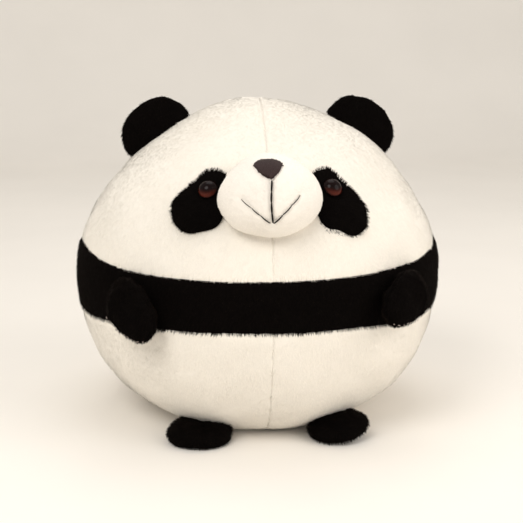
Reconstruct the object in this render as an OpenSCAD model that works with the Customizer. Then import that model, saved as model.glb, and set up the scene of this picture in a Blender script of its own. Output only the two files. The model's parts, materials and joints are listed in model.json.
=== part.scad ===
// Round plush panda: pile-fabric panels sewn into a stuffed ball, with a stuffed muzzle,
// two eye patches, two safety eyes, two ears, two arms and two feet.
// Millimetres. The body stands on the XY plane, +Z is up and the face looks along -Y.

/* [Body] */
// Width of the body at its widest ring
body_w = 244; // [200:1:300]
// Depth of the body from belly to back
body_d = 234; // [190:1:290]
// Height of the body from its seat to its crown
body_h = 214; // [175:1:260]
// Height of the widest ring above the seat
widest_z = 102; // [90:1:112]
// Radius of the flat seat, across the body
seat_r = 60; // [45:1:75]
// Roundness of the upper half, where 2 is an ellipse
crown_round = 1.72; // [1.6:0.02:2.2]
// Roundness of the lower half, where 2 is an ellipse
belly_round = 2.56; // [2.2:0.02:3]
// Thickness of the plush fabric with its pile
fabric_t = 3; // [2:0.5:4]

/* [Black band] */
// Height of the band's upper seam above the widest ring, at the front
band_above = 12; // [5:1:25]
// Depth of the band's lower seam below the widest ring, at the front
band_below = 21; // [10:1:30]
// How much higher the upper seam runs at the sides
band_rise = 9; // [0:1:15]
// How much lower the lower seam runs at the sides
band_drop = 8; // [0:1:15]

/* [Muzzle] */
// Depth of the muzzle's centre below the crown
muzzle_below_crown = 51.5; // [45:0.5:60]
// How far the muzzle's centre stands in front of the face
muzzle_out = 4; // [2:0.5:10]
// Half width of the muzzle
muzzle_half_w = 31.5; // [24:0.5:36]
// Half depth of the muzzle, along its axis
muzzle_half_d = 30; // [22:0.5:36]
// Half height of the muzzle
muzzle_half_h = 25.5; // [20:0.5:30]
// Thickness of the embroidered nose
nose_t = 1.2; // [0.8:0.1:2]
// Width of the embroidered nose
nose_w = 17.5; // [12:0.5:22]
// Radius of the sewn mouth line
mouth_thread_r = 0.7; // [0.4:0.1:1.2]

/* [Eyes] */
// Distance of each eye's middle beside the muzzle's side
eye_beside_muzzle = 6.5; // [4:0.5:10.5]
// Height of the eyes above the muzzle's centre
eye_up = 1; // [-4:0.5:6]
// Thickness of the eye patches
patch_t = 2; // [1.5:0.1:3]
// Diameter of the safety eyes
eye_dia = 12; // [9:0.5:13]
// Height of the dome of the safety eyes
eye_dome = 4.6; // [3:0.1:6]
// Diameter of the pupil, in its pocket behind the lens
pupil_dia = 5.6; // [4:0.1:6.5]
// Diameter of the stem of the safety eyes
stem_dia = 4.6; // [3.5:0.1:5]
// Length of the stem behind the eye patch
stem_len = 15; // [13:0.5:18]
// Diameter of the locking washers
washer_dia = 13; // [11:0.5:15]
// Thickness of the locking washers
washer_t = 1.8; // [1.2:0.1:2.5]

/* [Ears] */
// Depth of the ears' root below the crown
ear_below_crown = 25; // [22:0.5:34]
// Half width of an ear
ear_half_w = 25; // [20:0.5:28]
// Height of an ear above its root axis
ear_h = 20.5; // [14:0.5:24]
// Half thickness of an ear
ear_half_t = 6; // [5.5:0.5:7]
// Radius of the rounded root, which turns about the root axis
ear_root_r = 4; // [3.5:0.5:6]

/* [Arms] */
// Angle of the arm's root round the body, from the middle of the front
arm_az = 46; // [42:1:60]
// Height of the arm's root above the widest ring
arm_up = 1; // [-5:1:8]
// How far the left arm points downwards
left_arm_droop = 40; // [20:1:50]
// How far the right arm points downwards
right_arm_droop = 25; // [15:1:50]
// How far the arms' upper edges lean in towards the body
arm_roll = 12; // [0:1:15]
// Half width of the arm at its root
arm_root_r = 14.5; // [12:0.5:18]
// Half width of the arm at its tip
arm_tip_r = 11; // [8:0.5:12]
// Length from the root axis to the tip
arm_len = 38; // [32:1:48]
// Half thickness of an arm
arm_half_t = 8; // [7:0.5:10]

/* [Feet] */
// Distance of each foot from the middle
foot_x = 44.5; // [36:0.5:52]
// Half width of a foot
foot_half_w = 20; // [15:0.5:24]
// Length of a foot
foot_len = 37; // [32:1:42]
// Height of a foot
foot_h = 20.5; // [16:0.5:24]
// How far the toe stands out from under the belly
foot_reach = 13; // [8:0.5:20]

/* [Fits] */
// Gap between pieces that move against each other
travel_gap = 0.6; // [0.4:0.1:1]
// Gap between a sewn piece and the surface that it lies on
sewn_gap = 0.1; // [0.05:0.05:0.3]
// Room left round a stuffing for the flats of the panels over it
fill_gap = 1.6; // [1.4:0.1:2.5]
// Radial clearance between the eye stem and its holes
stem_clear = 0.1; // [0.05:0.05:0.2]

/* [Hidden] */

half_w = body_w / 2;
half_d = body_d / 2;
// The lower half is a superellipse that the floor cuts where it is seat_r wide
seat_depth = widest_z / pow(1 - pow(seat_r / half_w, belly_round), 1 / belly_round);
crown_depth = body_h - widest_z;

// Steps round the body and along its meridians
az_step = 10;
head_rows = 8;
band_rows = 3;
belly_rows = 7;
// Points round a sewn limb and rings from its middle to its seam
limb_points = 24;
limb_rings = [0.4, 0.7, 0.9, 1];
muzzle_points = 32;

white = [0.95, 0.93, 0.86];
black = [0.08, 0.07, 0.07];
brown = [0.35, 0.14, 0.06];
filling = [0.98, 0.98, 0.98];

function unit(v) = v / norm(v);
function lerp(a, b, s) = a + (b - a) * s;
function reversed(list) = [for (i = [len(list) - 1:-1:0]) list[i]];

// ---- The body's surface: az runs from the front towards +X, lat from seat to crown ----

function round_of(lat) = lat >= 0 ? crown_round : belly_round;
function depth_of(lat) = lat >= 0 ? crown_depth : seat_depth;
function ring_scale(lat) = pow(max(0, cos(lat)), 2 / round_of(lat));
function ring_height(lat) = widest_z + sign(lat) * depth_of(lat) * pow(abs(sin(lat)), 2 / round_of(lat));
function lat_at(z) = z >= widest_z
    ? asin(pow(min(1, (z - widest_z) / crown_depth), crown_round / 2))
    : -asin(pow(min(1, (widest_z - z) / seat_depth), belly_round / 2));
function skin_normal(az, lat) =
    let (p = round_of(lat) - 1, wide = pow(ring_scale(lat), p),
         tall = sign(lat) * pow(abs(ring_height(lat) - widest_z) / depth_of(lat), p) / depth_of(lat))
    unit([wide * sin(az) / half_w, -wide * cos(az) / half_d, tall]);
function skin_point(az, lat, off) =
    [half_w * ring_scale(lat) * sin(az), -half_d * ring_scale(lat) * cos(az), ring_height(lat)]
    + off * skin_normal(az, lat);
// The same surface from the front, at a place x, z
function face_az(x, z) = asin(x / (half_w * ring_scale(lat_at(z))));
function face_point(x, z, off) = skin_point(face_az(x, z), lat_at(z), off);
// Below 1 inside the body grown by off, above 1 outside
function body_level(p, off) =
    norm([p.x / (half_w + off), p.y / (half_d + off)]) / max(0.001, ring_scale(lat_at(p.z - off / 2)));
// Height of the body's underside over a place x, y
function underside(x, y) =
    let (rho = min(1, norm([x / half_w, y / half_d])))
    widest_z - seat_depth * pow(1 - pow(rho, belly_round), 1 / belly_round);

// The band's seams run level over the belly and bend away towards the sides
rise_bend = 10;
drop_bend = 6;
function band_top_z(az) = widest_z + band_above + band_rise * pow(abs(sin(az)), rise_bend);
function band_bottom_z(az) = widest_z - band_below - band_drop * pow(abs(sin(az)), drop_bend);
seat_lat = lat_at(0);

// ---- Closed solids from rows and rings of points ----

// A panel between an outer and an inner sheet, given in rows from bottom to top and in
// columns of growing az. A tip pair closes the top in a point.
module panel_solid(outer, inner, tip = []) {
    cols = len(outer[0]);
    rows = len(outer);
    span = rows * cols;
    points = concat([for (row = outer) each row], [for (row = inner) each row], tip);
    last = (rows - 1) * cols;
    edge = cols - 1;
    apex = 2 * span;
    sheets = [for (i = [0:rows - 2]) for (j = [0:cols - 2]) let (a = i * cols + j, b = a + cols)
        each [[a, b, b + 1], [a, b + 1, a + 1],
              [span + a, span + b + 1, span + b], [span + a, span + a + 1, span + b + 1]]];
    lower = [for (j = [0:cols - 2]) each [[j, j + 1, span + j + 1], [j, span + j + 1, span + j]]];
    sides = [for (i = [0:rows - 2]) let (a = i * cols, b = a + cols, c = a + edge, d = b + edge)
        each [[b, a, span + a], [b, span + a, span + b],
              [c, d, span + d], [c, span + d, span + c]]];
    upper = len(tip) == 0
        ? [for (j = [0:cols - 2]) let (a = last + j)
            each [[a + 1, a, span + a], [a + 1, span + a, span + a + 1]]]
        : concat([for (j = [0:cols - 2]) let (a = last + j)
            each [[a, apex, a + 1], [span + a, span + a + 1, apex + 1]]],
            [[apex, last, span + last], [apex, span + last, apex + 1],
             [last + edge, apex, apex + 1], [last + edge, apex + 1, span + last + edge]]);
    polyhedron(points, concat(sheets, lower, sides, upper), convexity = 6);
}

// A solid from a first tip through rings to a last tip. The rings run anticlockwise as
// seen from outside the first tip.
module ring_solid(first, rings, last) {
    count = len(rings[0]);
    points = concat([first], [for (ring = rings) each ring], [last]);
    end = len(points) - 1;
    base = end - count;
    first_fan = [for (j = [0:count - 1]) [0, 1 + (j + 1) % count, 1 + j]];
    walls = [for (i = [0:len(rings) - 2]) for (j = [0:count - 1])
        let (a = 1 + i * count + j, b = 1 + i * count + (j + 1) % count)
        each [[a, b, b + count], [a, b + count, a + count]]];
    last_fan = [for (j = [0:count - 1]) [end, base + j, base + (j + 1) % count]];
    polyhedron(points, concat(first_fan, walls, last_fan), convexity = 6);
}

// ---- Skin of the body ----

// A gore from the band's upper seam to the crown
module head_gore(az_from) {
    azs = [for (az = [az_from:az_step:az_from + 90]) az];
    function sheet(off) = [for (i = [0:head_rows - 1]) [for (az = azs)
        skin_point(az, lerp(lat_at(band_top_z(az)), 90, i / head_rows), off)]];
    panel_solid(sheet(0), sheet(-fabric_t), [[0, 0, body_h], [0, 0, body_h - fabric_t]]);
}

module band_strip(az_from) {
    azs = [for (az = [az_from:az_step:az_from + 180]) az];
    function sheet(off) = [for (i = [0:band_rows]) [for (az = azs)
        skin_point(az, lerp(lat_at(band_bottom_z(az)), lat_at(band_top_z(az)), i / band_rows), off)]];
    panel_solid(sheet(0), sheet(-fabric_t));
}

module belly_gore(az_from) {
    azs = [for (az = [az_from:az_step:az_from + 90]) az];
    function sheet(off) = [for (i = [0:belly_rows]) [for (az = azs)
        skin_point(az, lerp(seat_lat, lat_at(band_bottom_z(az)), i / belly_rows), off)]];
    panel_solid(sheet(0), sheet(-fabric_t));
}

module head_front(side) {
    color(white) difference() {
        head_gore(side > 0 ? 0 : -90);
        stem_hole(side);
    }
}

module head_back(side) {
    color(white) head_gore(side > 0 ? 90 : -180);
}

module band_front() {
    color(black) band_strip(-90);
}

module band_back() {
    color(black) band_strip(90);
}

module belly_front(side) {
    color(white) belly_gore(side > 0 ? 0 : -90);
}

module belly_back(side) {
    color(white) belly_gore(side > 0 ? 90 : -180);
}

ring_azs = [for (az = [-180:az_step:180 - az_step]) az];

// The round panel under the body: its edge meets the lower edges of the belly gores
module seat_panel() {
    rim = [for (az = ring_azs) skin_point(az, seat_lat, -fabric_t)];
    sole = [for (az = ring_azs) skin_point(az, seat_lat, 0)];
    color(white) ring_solid([0, 0, rim[0].z], [rim, sole], [0, 0, 0]);
}

// Everything inside the skin, with a pocket round each eye stem and its washer
fill_rows = 14;
fill_low = seat_lat + 3;
pocket_room = 1;
module body_stuffing() {
    off = -fabric_t - fill_gap;
    rows = fill_rows;
    rings = [for (i = [rows - 1:-1:0]) [for (az = ring_azs)
        skin_point(az, lerp(fill_low, 90, i / rows), off)]];
    color(filling) difference() {
        ring_solid([0, 0, body_h + off], rings, [0, 0, rings[rows - 1][0].z]);
        for (side = [-1, 1]) eye_place(side) translate([0, 0, -stem_len - pocket_room])
            cylinder(h = stem_len + pocket_room, r = washer_dia / 2 + pocket_room, $fn = 48);
    }
}

// Ladder stitches that close the middle seam of the back after stuffing
stitch_d = 0.9;
stitch_len = 5;
stitch_pitch = 5;
stitch_count = 9;
stitch_low_z = 32;
module closing_seam() {
    color(white) for (i = [0:stitch_count - 1]) {
        lat = lat_at(stitch_low_z + i * stitch_pitch);
        translate(skin_point(180, lat, stitch_d / 2 + sewn_gap)) rotate([0, 90, 0])
            cylinder(h = stitch_len, d = stitch_d, center = true, $fn = 16);
    }
}

// ---- Muzzle ----

muzzle_z = body_h - muzzle_below_crown;
muzzle_mid = face_point(0, muzzle_z, 0) + [0, -muzzle_out, 0];
muzzle_size = [muzzle_half_w, muzzle_half_d, muzzle_half_h];

// A point of the muzzle's ball shrunk by inset: turn runs round its axis, open from its tip
function muzzle_point(turn, open, inset) = muzzle_mid + [
    (muzzle_size.x - inset) * sin(open) * cos(turn),
    -(muzzle_size.y - inset) * cos(open),
    (muzzle_size.z - inset) * sin(open) * sin(turn)];
// The opening at which the muzzle's ball meets the face, by halving
function muzzle_rim(turn, inset, lift, low = 30, high = 170, n = 18) =
    n == 0 ? (low + high) / 2
    : let (mid = (low + high) / 2)
      body_level(muzzle_point(turn, mid, inset), lift) > 1
        ? muzzle_rim(turn, inset, lift, mid, high, n - 1)
        : muzzle_rim(turn, inset, lift, low, mid, n - 1);
function muzzle_level(p, grow) = norm([for (k = [0:2]) (p[k] - muzzle_mid[k]) / (muzzle_size[k] + grow)]);
muzzle_turns = [for (i = [0:muzzle_points - 1]) i * 360 / muzzle_points];
function muzzle_rings(shares, inset, lift) = [for (share = shares) [for (turn = muzzle_turns)
    muzzle_point(turn, share * muzzle_rim(turn, inset, lift), inset)]];

module muzzle_cover() {
    shares = [0.15, 0.3, 0.45, 0.6, 0.75, 0.88, 1];
    lift = sewn_gap;
    color(white) ring_solid(muzzle_point(0, 0, 0),
        concat(muzzle_rings(shares, 0, lift), reversed(muzzle_rings(shares, fabric_t, lift))),
        muzzle_point(0, 0, fabric_t));
}

module muzzle_stuffing() {
    inset = fabric_t + fill_gap / 2;
    lift = fill_gap / 2;
    front = muzzle_rings([0.25, 0.5, 0.75, 1], inset, lift);
    rim = front[len(front) - 1];
    back = [for (share = [0.7, 0.35]) [for (p = rim)
        face_point(p.x * share, lerp(muzzle_z, p.z, share), lift)]];
    color(filling) ring_solid(muzzle_point(0, 0, inset), concat(front, back), face_point(0, muzzle_z, lift));
}

// A point on the front of the muzzle at a place x, z, lifted off it
function muzzle_front(x, z, lift) =
    let (s = [x / muzzle_size.x, (z - muzzle_z) / muzzle_size.z],
         y = -sqrt(max(0, 1 - s.x * s.x - s.y * s.y)),
         away = unit([s.x / muzzle_size.x, y / muzzle_size.y, s.y / muzzle_size.z]))
    muzzle_mid + [x, y * muzzle_size.y, z - muzzle_z] + lift * away;

// Outline of the hull of circles [x, y, r], one point for each direction
function best_circle(circles, dir, i, best) =
    i == len(circles) ? best
    : let (reach = [for (c = [circles[i], circles[best]]) c[0] * dir[0] + c[1] * dir[1] + c[2]])
      best_circle(circles, dir, i + 1, reach[0] > reach[1] ? i : best);
function hull_outline(circles, count) = [for (k = [0:count - 1])
    let (a = (k + 0.5) * 360 / count, dir = [cos(a), sin(a)], c = circles[best_circle(circles, dir, 1, 0)])
    [c[0], c[1]] + c[2] * dir];

// The nose is a rounded triangle, wide at the top, high on the muzzle
nose_high = 22.2;
nose_low = 13.4;
nose_corner_r = 2.6;
nose_tip_r = 2;
module nose_embroidery() {
    lift = 6 * sewn_gap;
    top_z = muzzle_z + nose_high - nose_corner_r;
    side_x = nose_w / 2 - nose_corner_r;
    outline = hull_outline([[side_x, top_z, nose_corner_r], [-side_x, top_z, nose_corner_r],
        [0, muzzle_z + nose_low + nose_tip_r, nose_tip_r]], 24);
    middle = [0, muzzle_z + (nose_high + nose_low) / 2];
    function ring(share, lift) = [for (q = outline)
        let (p = lerp(middle, q, share)) muzzle_front(p.x, p.y, lift)];
    // The hull runs anticlockwise as seen from the front
    color(black) ring_solid(muzzle_front(middle.x, middle.y, nose_t),
        [ring(0.5, nose_t), ring(0.9, nose_t * 0.9), ring(1, lift), ring(0.5, lift)],
        muzzle_front(middle.x, middle.y, lift));
}

// The mouth: a line down from the nose, and a V whose point the line meets
mouth_top = 12;
mouth_low = -12;
mouth_half_w = 17;
mouth_ends = 3;
thread_sides = 8;
module thread_line(path) {
    count = len(path);
    function along(i) = unit(path[min(count - 1, i + 1)] - path[max(0, i - 1)]);
    rings = [for (i = [0:count - 1])
        let (t = along(i), out = unit(path[i] - muzzle_mid), side = unit(cross(t, out)), up = cross(side, t))
        [for (k = [0:thread_sides - 1]) let (a = -k * 360 / thread_sides)
            path[i] + mouth_thread_r * (cos(a) * side + sin(a) * up)]];
    ring_solid(path[0], rings, path[count - 1]);
}
module mouth_embroidery() {
    lift = mouth_thread_r + sewn_gap;
    steps = 8;
    color(black) {
        thread_line([for (i = [0:steps]) muzzle_front(0,
            muzzle_z + lerp(mouth_top, mouth_low + 2.5 * mouth_thread_r, i / steps), lift)]);
        thread_line([for (i = [-steps:steps]) muzzle_front(mouth_half_w * i / steps,
            muzzle_z + lerp(mouth_low, mouth_ends, abs(i) / steps), lift)]);
    }
}

// ---- Eyes and their patches ----

eye_x = muzzle_half_w + eye_beside_muzzle;
eye_z = muzzle_z + eye_up;
patch_points = 28;
// The patch lies this far off the smooth head, clear of its flat facets
patch_lift = 2 * sewn_gap;

// Stands at the eye's place on the patch, with +Z straight out of the face
module eye_place(side) {
    az = face_az(eye_x, eye_z);
    lat = lat_at(eye_z);
    out = skin_normal(az, lat);
    spot = skin_point(az, lat, patch_lift + patch_t + sewn_gap);
    turn = atan2(out.y, out.x);
    tilt = acos(out.z);
    mirror([side < 0 ? 1 : 0, 0, 0]) translate(spot) rotate([0, tilt, turn]) children();
}

module stem_hole(side) {
    eye_place(side) translate([0, 0, -stem_len])
        cylinder(h = 2 * stem_len, r = stem_dia / 2 + stem_clear, $fn = 48);
}

// A teardrop that leans outwards and down; its inner edge stops at the muzzle
patch_upper = [-4, 1.8, 10.7];
patch_lower = [9.6, -12.3, 12.6];
patch_middle = [3.5, -6];
function patch_edge(mid, q, n = 14, low = 0, high = 1) =
    n == 0 ? lerp(mid, q, low)
    : let (s = (low + high) / 2, p = lerp(mid, q, s))
      muzzle_level(face_point(p.x, p.y, patch_lift + patch_t), 3 * sewn_gap) > 1
        ? patch_edge(mid, q, n - 1, s, high)
        : patch_edge(mid, q, n - 1, low, s);
module eye_patch(side) {
    at_eye = [eye_x, eye_z];
    circles = [for (c = [patch_upper, patch_lower]) [at_eye.x + c[0], at_eye.y + c[1], c[2]]];
    middle = at_eye + patch_middle;
    outline = [for (q = hull_outline(circles, patch_points)) patch_edge(middle, q)];
    function ring(share, lift) = [for (q = outline)
        let (p = lerp(middle, q, share)) face_point(p.x, p.y, lift)];
    top = patch_lift + patch_t;
    mirrored = [side < 0 ? 1 : 0, 0, 0];
    color(black) difference() {
        mirror(mirrored) ring_solid(face_point(middle.x, middle.y, top),
            concat([for (share = [0.35, 0.7, 1]) ring(share, top)],
                [for (share = [1, 0.7, 0.35]) ring(share, patch_lift)]),
            face_point(middle.x, middle.y, patch_lift));
        stem_hole(side);
    }
}

// A solid clear dome with a shallow pocket behind it for the pupil
lens_edge = 1;
pupil_t = 1;
module eye_lens(side) {
    sphere_r = (pow(eye_dia / 2, 2) + pow(eye_dome - lens_edge, 2)) / (2 * (eye_dome - lens_edge));
    half_angle = asin(eye_dia / 2 / sphere_r);
    arc = [for (i = [0:8]) let (a = half_angle * (1 - i / 8))
        [i == 8 ? 0 : sphere_r * sin(a), eye_dome - sphere_r + sphere_r * cos(a)]];
    pocket = [pupil_dia / 2 + stem_clear, pupil_t + stem_clear];
    color(brown) eye_place(side) rotate_extrude($fn = 64)
        polygon(concat([[0, pocket.y], [pocket.x, pocket.y], [pocket.x, 0], [eye_dia / 2, 0]], arc));
}

// The black pupil and the ribbed stem behind it are one moulding
module eye_stem(side) {
    rib = 0.35;
    first_rib = 10;
    rib_pitch = 1.6;
    rib_count = 3;
    r = stem_dia / 2;
    ribs = [for (i = [0:rib_count - 1]) let (z = -first_rib - i * rib_pitch)
        each [[r, z + rib], [r + rib, z], [r, z - rib]]];
    color(black) eye_place(side) rotate_extrude($fn = 64)
        polygon(concat([[0, -stem_len], [0, pupil_t], [pupil_dia / 2, pupil_t], [pupil_dia / 2, 0], [r, 0]],
            ribs, [[r, -stem_len + 1], [r - 1, -stem_len]]));
}

// The washer grips the stem behind the fabric, clear of the round of the head
washer_room = 1;
module eye_washer(side) {
    fabric_stack = patch_lift + patch_t + sewn_gap + fabric_t + washer_room;
    color(filling) eye_place(side) translate([0, 0, -fabric_stack - washer_t]) difference() {
        cylinder(h = washer_t, d = washer_dia, $fn = 64);
        translate([0, 0, -1]) cylinder(h = washer_t + 2, r = stem_dia / 2 + stem_clear / 2, $fn = 64);
    }
}

// ---- Sewn limbs: two panels round a core, flat where they meet at the seam ----

function bulge(share) = sqrt(1 - pow(share, 2.4));
// Rings of a limb's upper half, its outline shrunk by inset towards its middle
function limb_half(outline, middle, half_t, inset) = [for (share = limb_rings) [for (q = outline)
    let (reach = norm(q - middle), p = middle + (q - middle) * share * (reach - inset) / reach)
    [p.x, p.y, (half_t - inset) * bulge(share)]]];
module limb_panel(outline, middle, half_t) {
    ring_solid([middle.x, middle.y, half_t],
        concat(limb_half(outline, middle, half_t, 0), reversed(limb_half(outline, middle, half_t, fabric_t))),
        [middle.x, middle.y, half_t - fabric_t]);
}
module limb_core(outline, middle, half_t) {
    inset = fabric_t + sewn_gap;
    upper = limb_half(outline, middle, half_t, inset);
    lower = [for (i = [len(upper) - 2:-1:0]) [for (p = upper[i]) [p.x, p.y, -p.z]]];
    ring_solid([middle.x, middle.y, half_t - inset], concat(upper, lower),
        [middle.x, middle.y, inset - half_t]);
}

// An ear's outline stands on its root axis, which lies along X: an ellipse above, and
// squarer below, where it is sewn down
ear_middle = [0, 3];
root_square = 3.5;
ear_outline = [for (k = [0:limb_points - 1]) let (a = (k + 0.5) * 360 / limb_points)
    ear_middle + (sin(a) > 0
        ? [ear_half_w * cos(a), (ear_h - ear_middle.y) * sin(a)]
        : [ear_half_w * sign(cos(a)) * pow(abs(cos(a)), 2 / root_square),
           -(ear_root_r + ear_middle.y) * pow(-sin(a), 2 / root_square)])];
ear_lat = lat_at(body_h - ear_below_crown);
// Stands on the ear's root axis, with X down the side of the head, Y out of it and Z to
// the front
module ear_place(side) {
    out = skin_normal(90, ear_lat);
    axis_at = skin_point(90, ear_lat, ear_root_r + travel_gap);
    mirror([side < 0 ? 1 : 0, 0, 0]) translate(axis_at)
        rotate([0, 90 - atan2(out.z, out.x), 0]) rotate([90, 0, 0]) children();
}
module ear_front(side) {
    color(black) ear_place(side) limb_panel(ear_outline, ear_middle, ear_half_t);
}
module ear_back(side) {
    color(black) ear_place(side) mirror([0, 0, 1]) limb_panel(ear_outline, ear_middle, ear_half_t);
}
module ear_stuffing(side) {
    color(filling) ear_place(side) limb_core(ear_outline, ear_middle, ear_half_t);
}

// An arm's outline points along X from its root axis, which lies along Y
arm_root_x = arm_root_r / 2;
arm_middle = [arm_len * 0.4, 0];
arm_outline = hull_outline([[arm_root_x, 0, arm_root_r], [arm_len - arm_tip_r, 0, arm_tip_r]], limb_points);
arm_lat = lat_at(widest_z + arm_up);
// Stands on the arm's root axis, with X along the arm and Z straight out of the body
module arm_place(side) {
    droop = side < 0 ? left_arm_droop : right_arm_droop;
    out = skin_normal(arm_az, arm_lat);
    to_front = unit(cross(out, [0, 0, 1]));
    upwards = cross(to_front, out);
    along = cos(droop) * to_front - sin(droop) * upwards;
    across = cross(out, along);
    // The lean brings the arm's upper edge closer to the body than its half thickness
    lowest = norm([arm_root_r * sin(arm_roll), arm_half_t * cos(arm_roll)]);
    at = skin_point(arm_az, arm_lat, lowest + travel_gap);
    mirror([side < 0 ? 1 : 0, 0, 0]) multmatrix([
        [along.x, across.x, out.x, at.x],
        [along.y, across.y, out.y, at.y],
        [along.z, across.z, out.z, at.z],
        [0, 0, 0, 1]]) rotate([arm_roll, 0, 0]) children();
}
module arm_upper(side) {
    color(black) arm_place(side) limb_panel(arm_outline, arm_middle, arm_half_t);
}
module arm_under(side) {
    color(black) arm_place(side) mirror([0, 0, 1]) limb_panel(arm_outline, arm_middle, arm_half_t);
}
module arm_stuffing(side) {
    color(filling) arm_place(side) limb_core(arm_outline, arm_middle, arm_half_t);
}

// A foot lies on the floor and is cut to the underside of the belly above it
foot_seam_z = 3.2;
foot_toe_y = face_point(foot_x, foot_h, 0).y - foot_reach;
foot_middle = [foot_x, foot_toe_y + foot_len / 2];
foot_outline = [for (k = [0:limb_points - 1]) let (a = (k + 0.5) * 360 / limb_points)
    foot_middle + [foot_half_w * cos(a), foot_len / 2 * sin(a)]];
least_fabric = 0.6;
belly_room = 1.5 * travel_gap;
// Where the foot is thin, the shares of it that lie inside the upper and in the stuffing
thin_hollow = 0.4;
thin_fill = 0.2;
// Share of the seam's height that the sole's fabric takes
sole_share = 0.6;
function foot_spot(q, share, inset) =
    let (reach = norm(q - foot_middle)) foot_middle + (q - foot_middle) * share * (reach - inset) / reach;
// Height of the upper above the seam: a dome, or the belly's underside where that is lower
function foot_rise(p, share) = max(least_fabric,
    min((foot_h - foot_seam_z) * bulge(share), underside(p.x, p.y) - belly_room - foot_seam_z));
function foot_top(share, inset, thin) = [for (q = foot_outline)
    let (p = foot_spot(q, share, inset), rise = foot_rise(p, share),
         left = max(rise * thin, rise - inset))
    [p.x, p.y, foot_seam_z + (share == 1 ? 0 : inset > 0 ? left : rise)]];
function foot_bottom(share, inset) = [for (q = foot_outline)
    let (p = foot_spot(q, share, inset)) [p.x, p.y, foot_seam_z * (1 - bulge(pow(share, 3))) +
        (share == 1 ? 0 : min(inset, foot_seam_z * sole_share) * bulge(pow(share, 3)))]];
foot_peak = foot_rise(foot_middle, 0);
sole_in = foot_seam_z * sole_share;
module foot_upper(side) {
    color(black) mirror([side < 0 ? 1 : 0, 0, 0]) ring_solid(
        [foot_middle.x, foot_middle.y, foot_seam_z + foot_peak],
        concat([for (share = limb_rings) foot_top(share, 0, 1)],
            reversed([for (share = limb_rings) foot_top(share, fabric_t, thin_hollow)])),
        [foot_middle.x, foot_middle.y, foot_seam_z + foot_peak - fabric_t]);
}
module foot_sole(side) {
    color(black) mirror([side < 0 ? 1 : 0, 0, 0]) ring_solid(
        [foot_middle.x, foot_middle.y, sole_in],
        concat([for (share = limb_rings) foot_bottom(share, fabric_t)],
            reversed([for (share = limb_rings) foot_bottom(share, 0)])),
        [foot_middle.x, foot_middle.y, 0]);
}
module foot_stuffing(side) {
    inset = fabric_t + fill_gap / 2;
    upper = [for (share = limb_rings) foot_top(share, inset, thin_fill)];
    lower = reversed([for (share = [0.4, 0.7, 0.9]) foot_bottom(share, inset)]);
    color(filling) mirror([side < 0 ? 1 : 0, 0, 0]) ring_solid(
        [foot_middle.x, foot_middle.y, foot_seam_z + foot_peak - inset],
        concat(upper, lower), [foot_middle.x, foot_middle.y, sole_in + sewn_gap]);
}

head_front(-1);  // head_front_left
head_front(1);  // head_front_right
head_back(-1);  // head_back_left
head_back(1);  // head_back_right
band_front();
band_back();
belly_front(-1);  // belly_front_left
belly_front(1);  // belly_front_right
belly_back(-1);  // belly_back_left
belly_back(1);  // belly_back_right
seat_panel();
body_stuffing();
closing_seam();
muzzle_cover();
muzzle_stuffing();
nose_embroidery();
mouth_embroidery();
eye_patch(-1);  // eye_patch_left
eye_patch(1);  // eye_patch_right
eye_lens(-1);  // eye_lens_left
eye_lens(1);  // eye_lens_right
eye_stem(-1);  // eye_stem_left
eye_stem(1);  // eye_stem_right
eye_washer(-1);  // eye_washer_left
eye_washer(1);  // eye_washer_right
ear_front(-1);  // ear_front_left
ear_front(1);  // ear_front_right
ear_back(-1);  // ear_back_left
ear_back(1);  // ear_back_right
ear_stuffing(-1);  // ear_stuffing_left
ear_stuffing(1);  // ear_stuffing_right
arm_upper(-1);  // arm_upper_left
arm_upper(1);  // arm_upper_right
arm_under(-1);  // arm_under_left
arm_under(1);  // arm_under_right
arm_stuffing(-1);  // arm_stuffing_left
arm_stuffing(1);  // arm_stuffing_right
foot_upper(-1);  // foot_upper_left
foot_upper(1);  // foot_upper_right
foot_sole(-1);  // foot_sole_left
foot_sole(1);  // foot_sole_right
foot_stuffing(-1);  // foot_stuffing_left
foot_stuffing(1);  // foot_stuffing_right
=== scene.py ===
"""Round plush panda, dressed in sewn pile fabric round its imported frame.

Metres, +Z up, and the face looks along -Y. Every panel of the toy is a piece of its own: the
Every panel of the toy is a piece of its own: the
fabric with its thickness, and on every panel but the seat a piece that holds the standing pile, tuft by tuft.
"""

import json
import math

import bmesh
import bpy
import numpy as np
from mathutils import Matrix, Vector


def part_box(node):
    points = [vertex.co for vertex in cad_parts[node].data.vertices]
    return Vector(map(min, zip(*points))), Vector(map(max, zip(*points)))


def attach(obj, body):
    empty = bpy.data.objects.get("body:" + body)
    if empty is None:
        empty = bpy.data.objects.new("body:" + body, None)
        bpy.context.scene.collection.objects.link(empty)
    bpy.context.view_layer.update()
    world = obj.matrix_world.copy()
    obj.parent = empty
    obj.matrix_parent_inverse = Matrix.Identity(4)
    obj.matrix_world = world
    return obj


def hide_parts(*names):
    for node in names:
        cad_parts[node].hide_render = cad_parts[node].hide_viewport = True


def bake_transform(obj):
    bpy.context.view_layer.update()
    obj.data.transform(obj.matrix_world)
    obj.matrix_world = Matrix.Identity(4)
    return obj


bl_info = {
    "name": "Round Plush Panda",
    "version": (1, 0, 0),
    "blender": (4, 5, 0),
    "location": "3D View > Sidebar > Panda",
    "description": "Sews the panels, limbs, face and pile of a round plush panda",
    "category": "Add Mesh",
}

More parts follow.
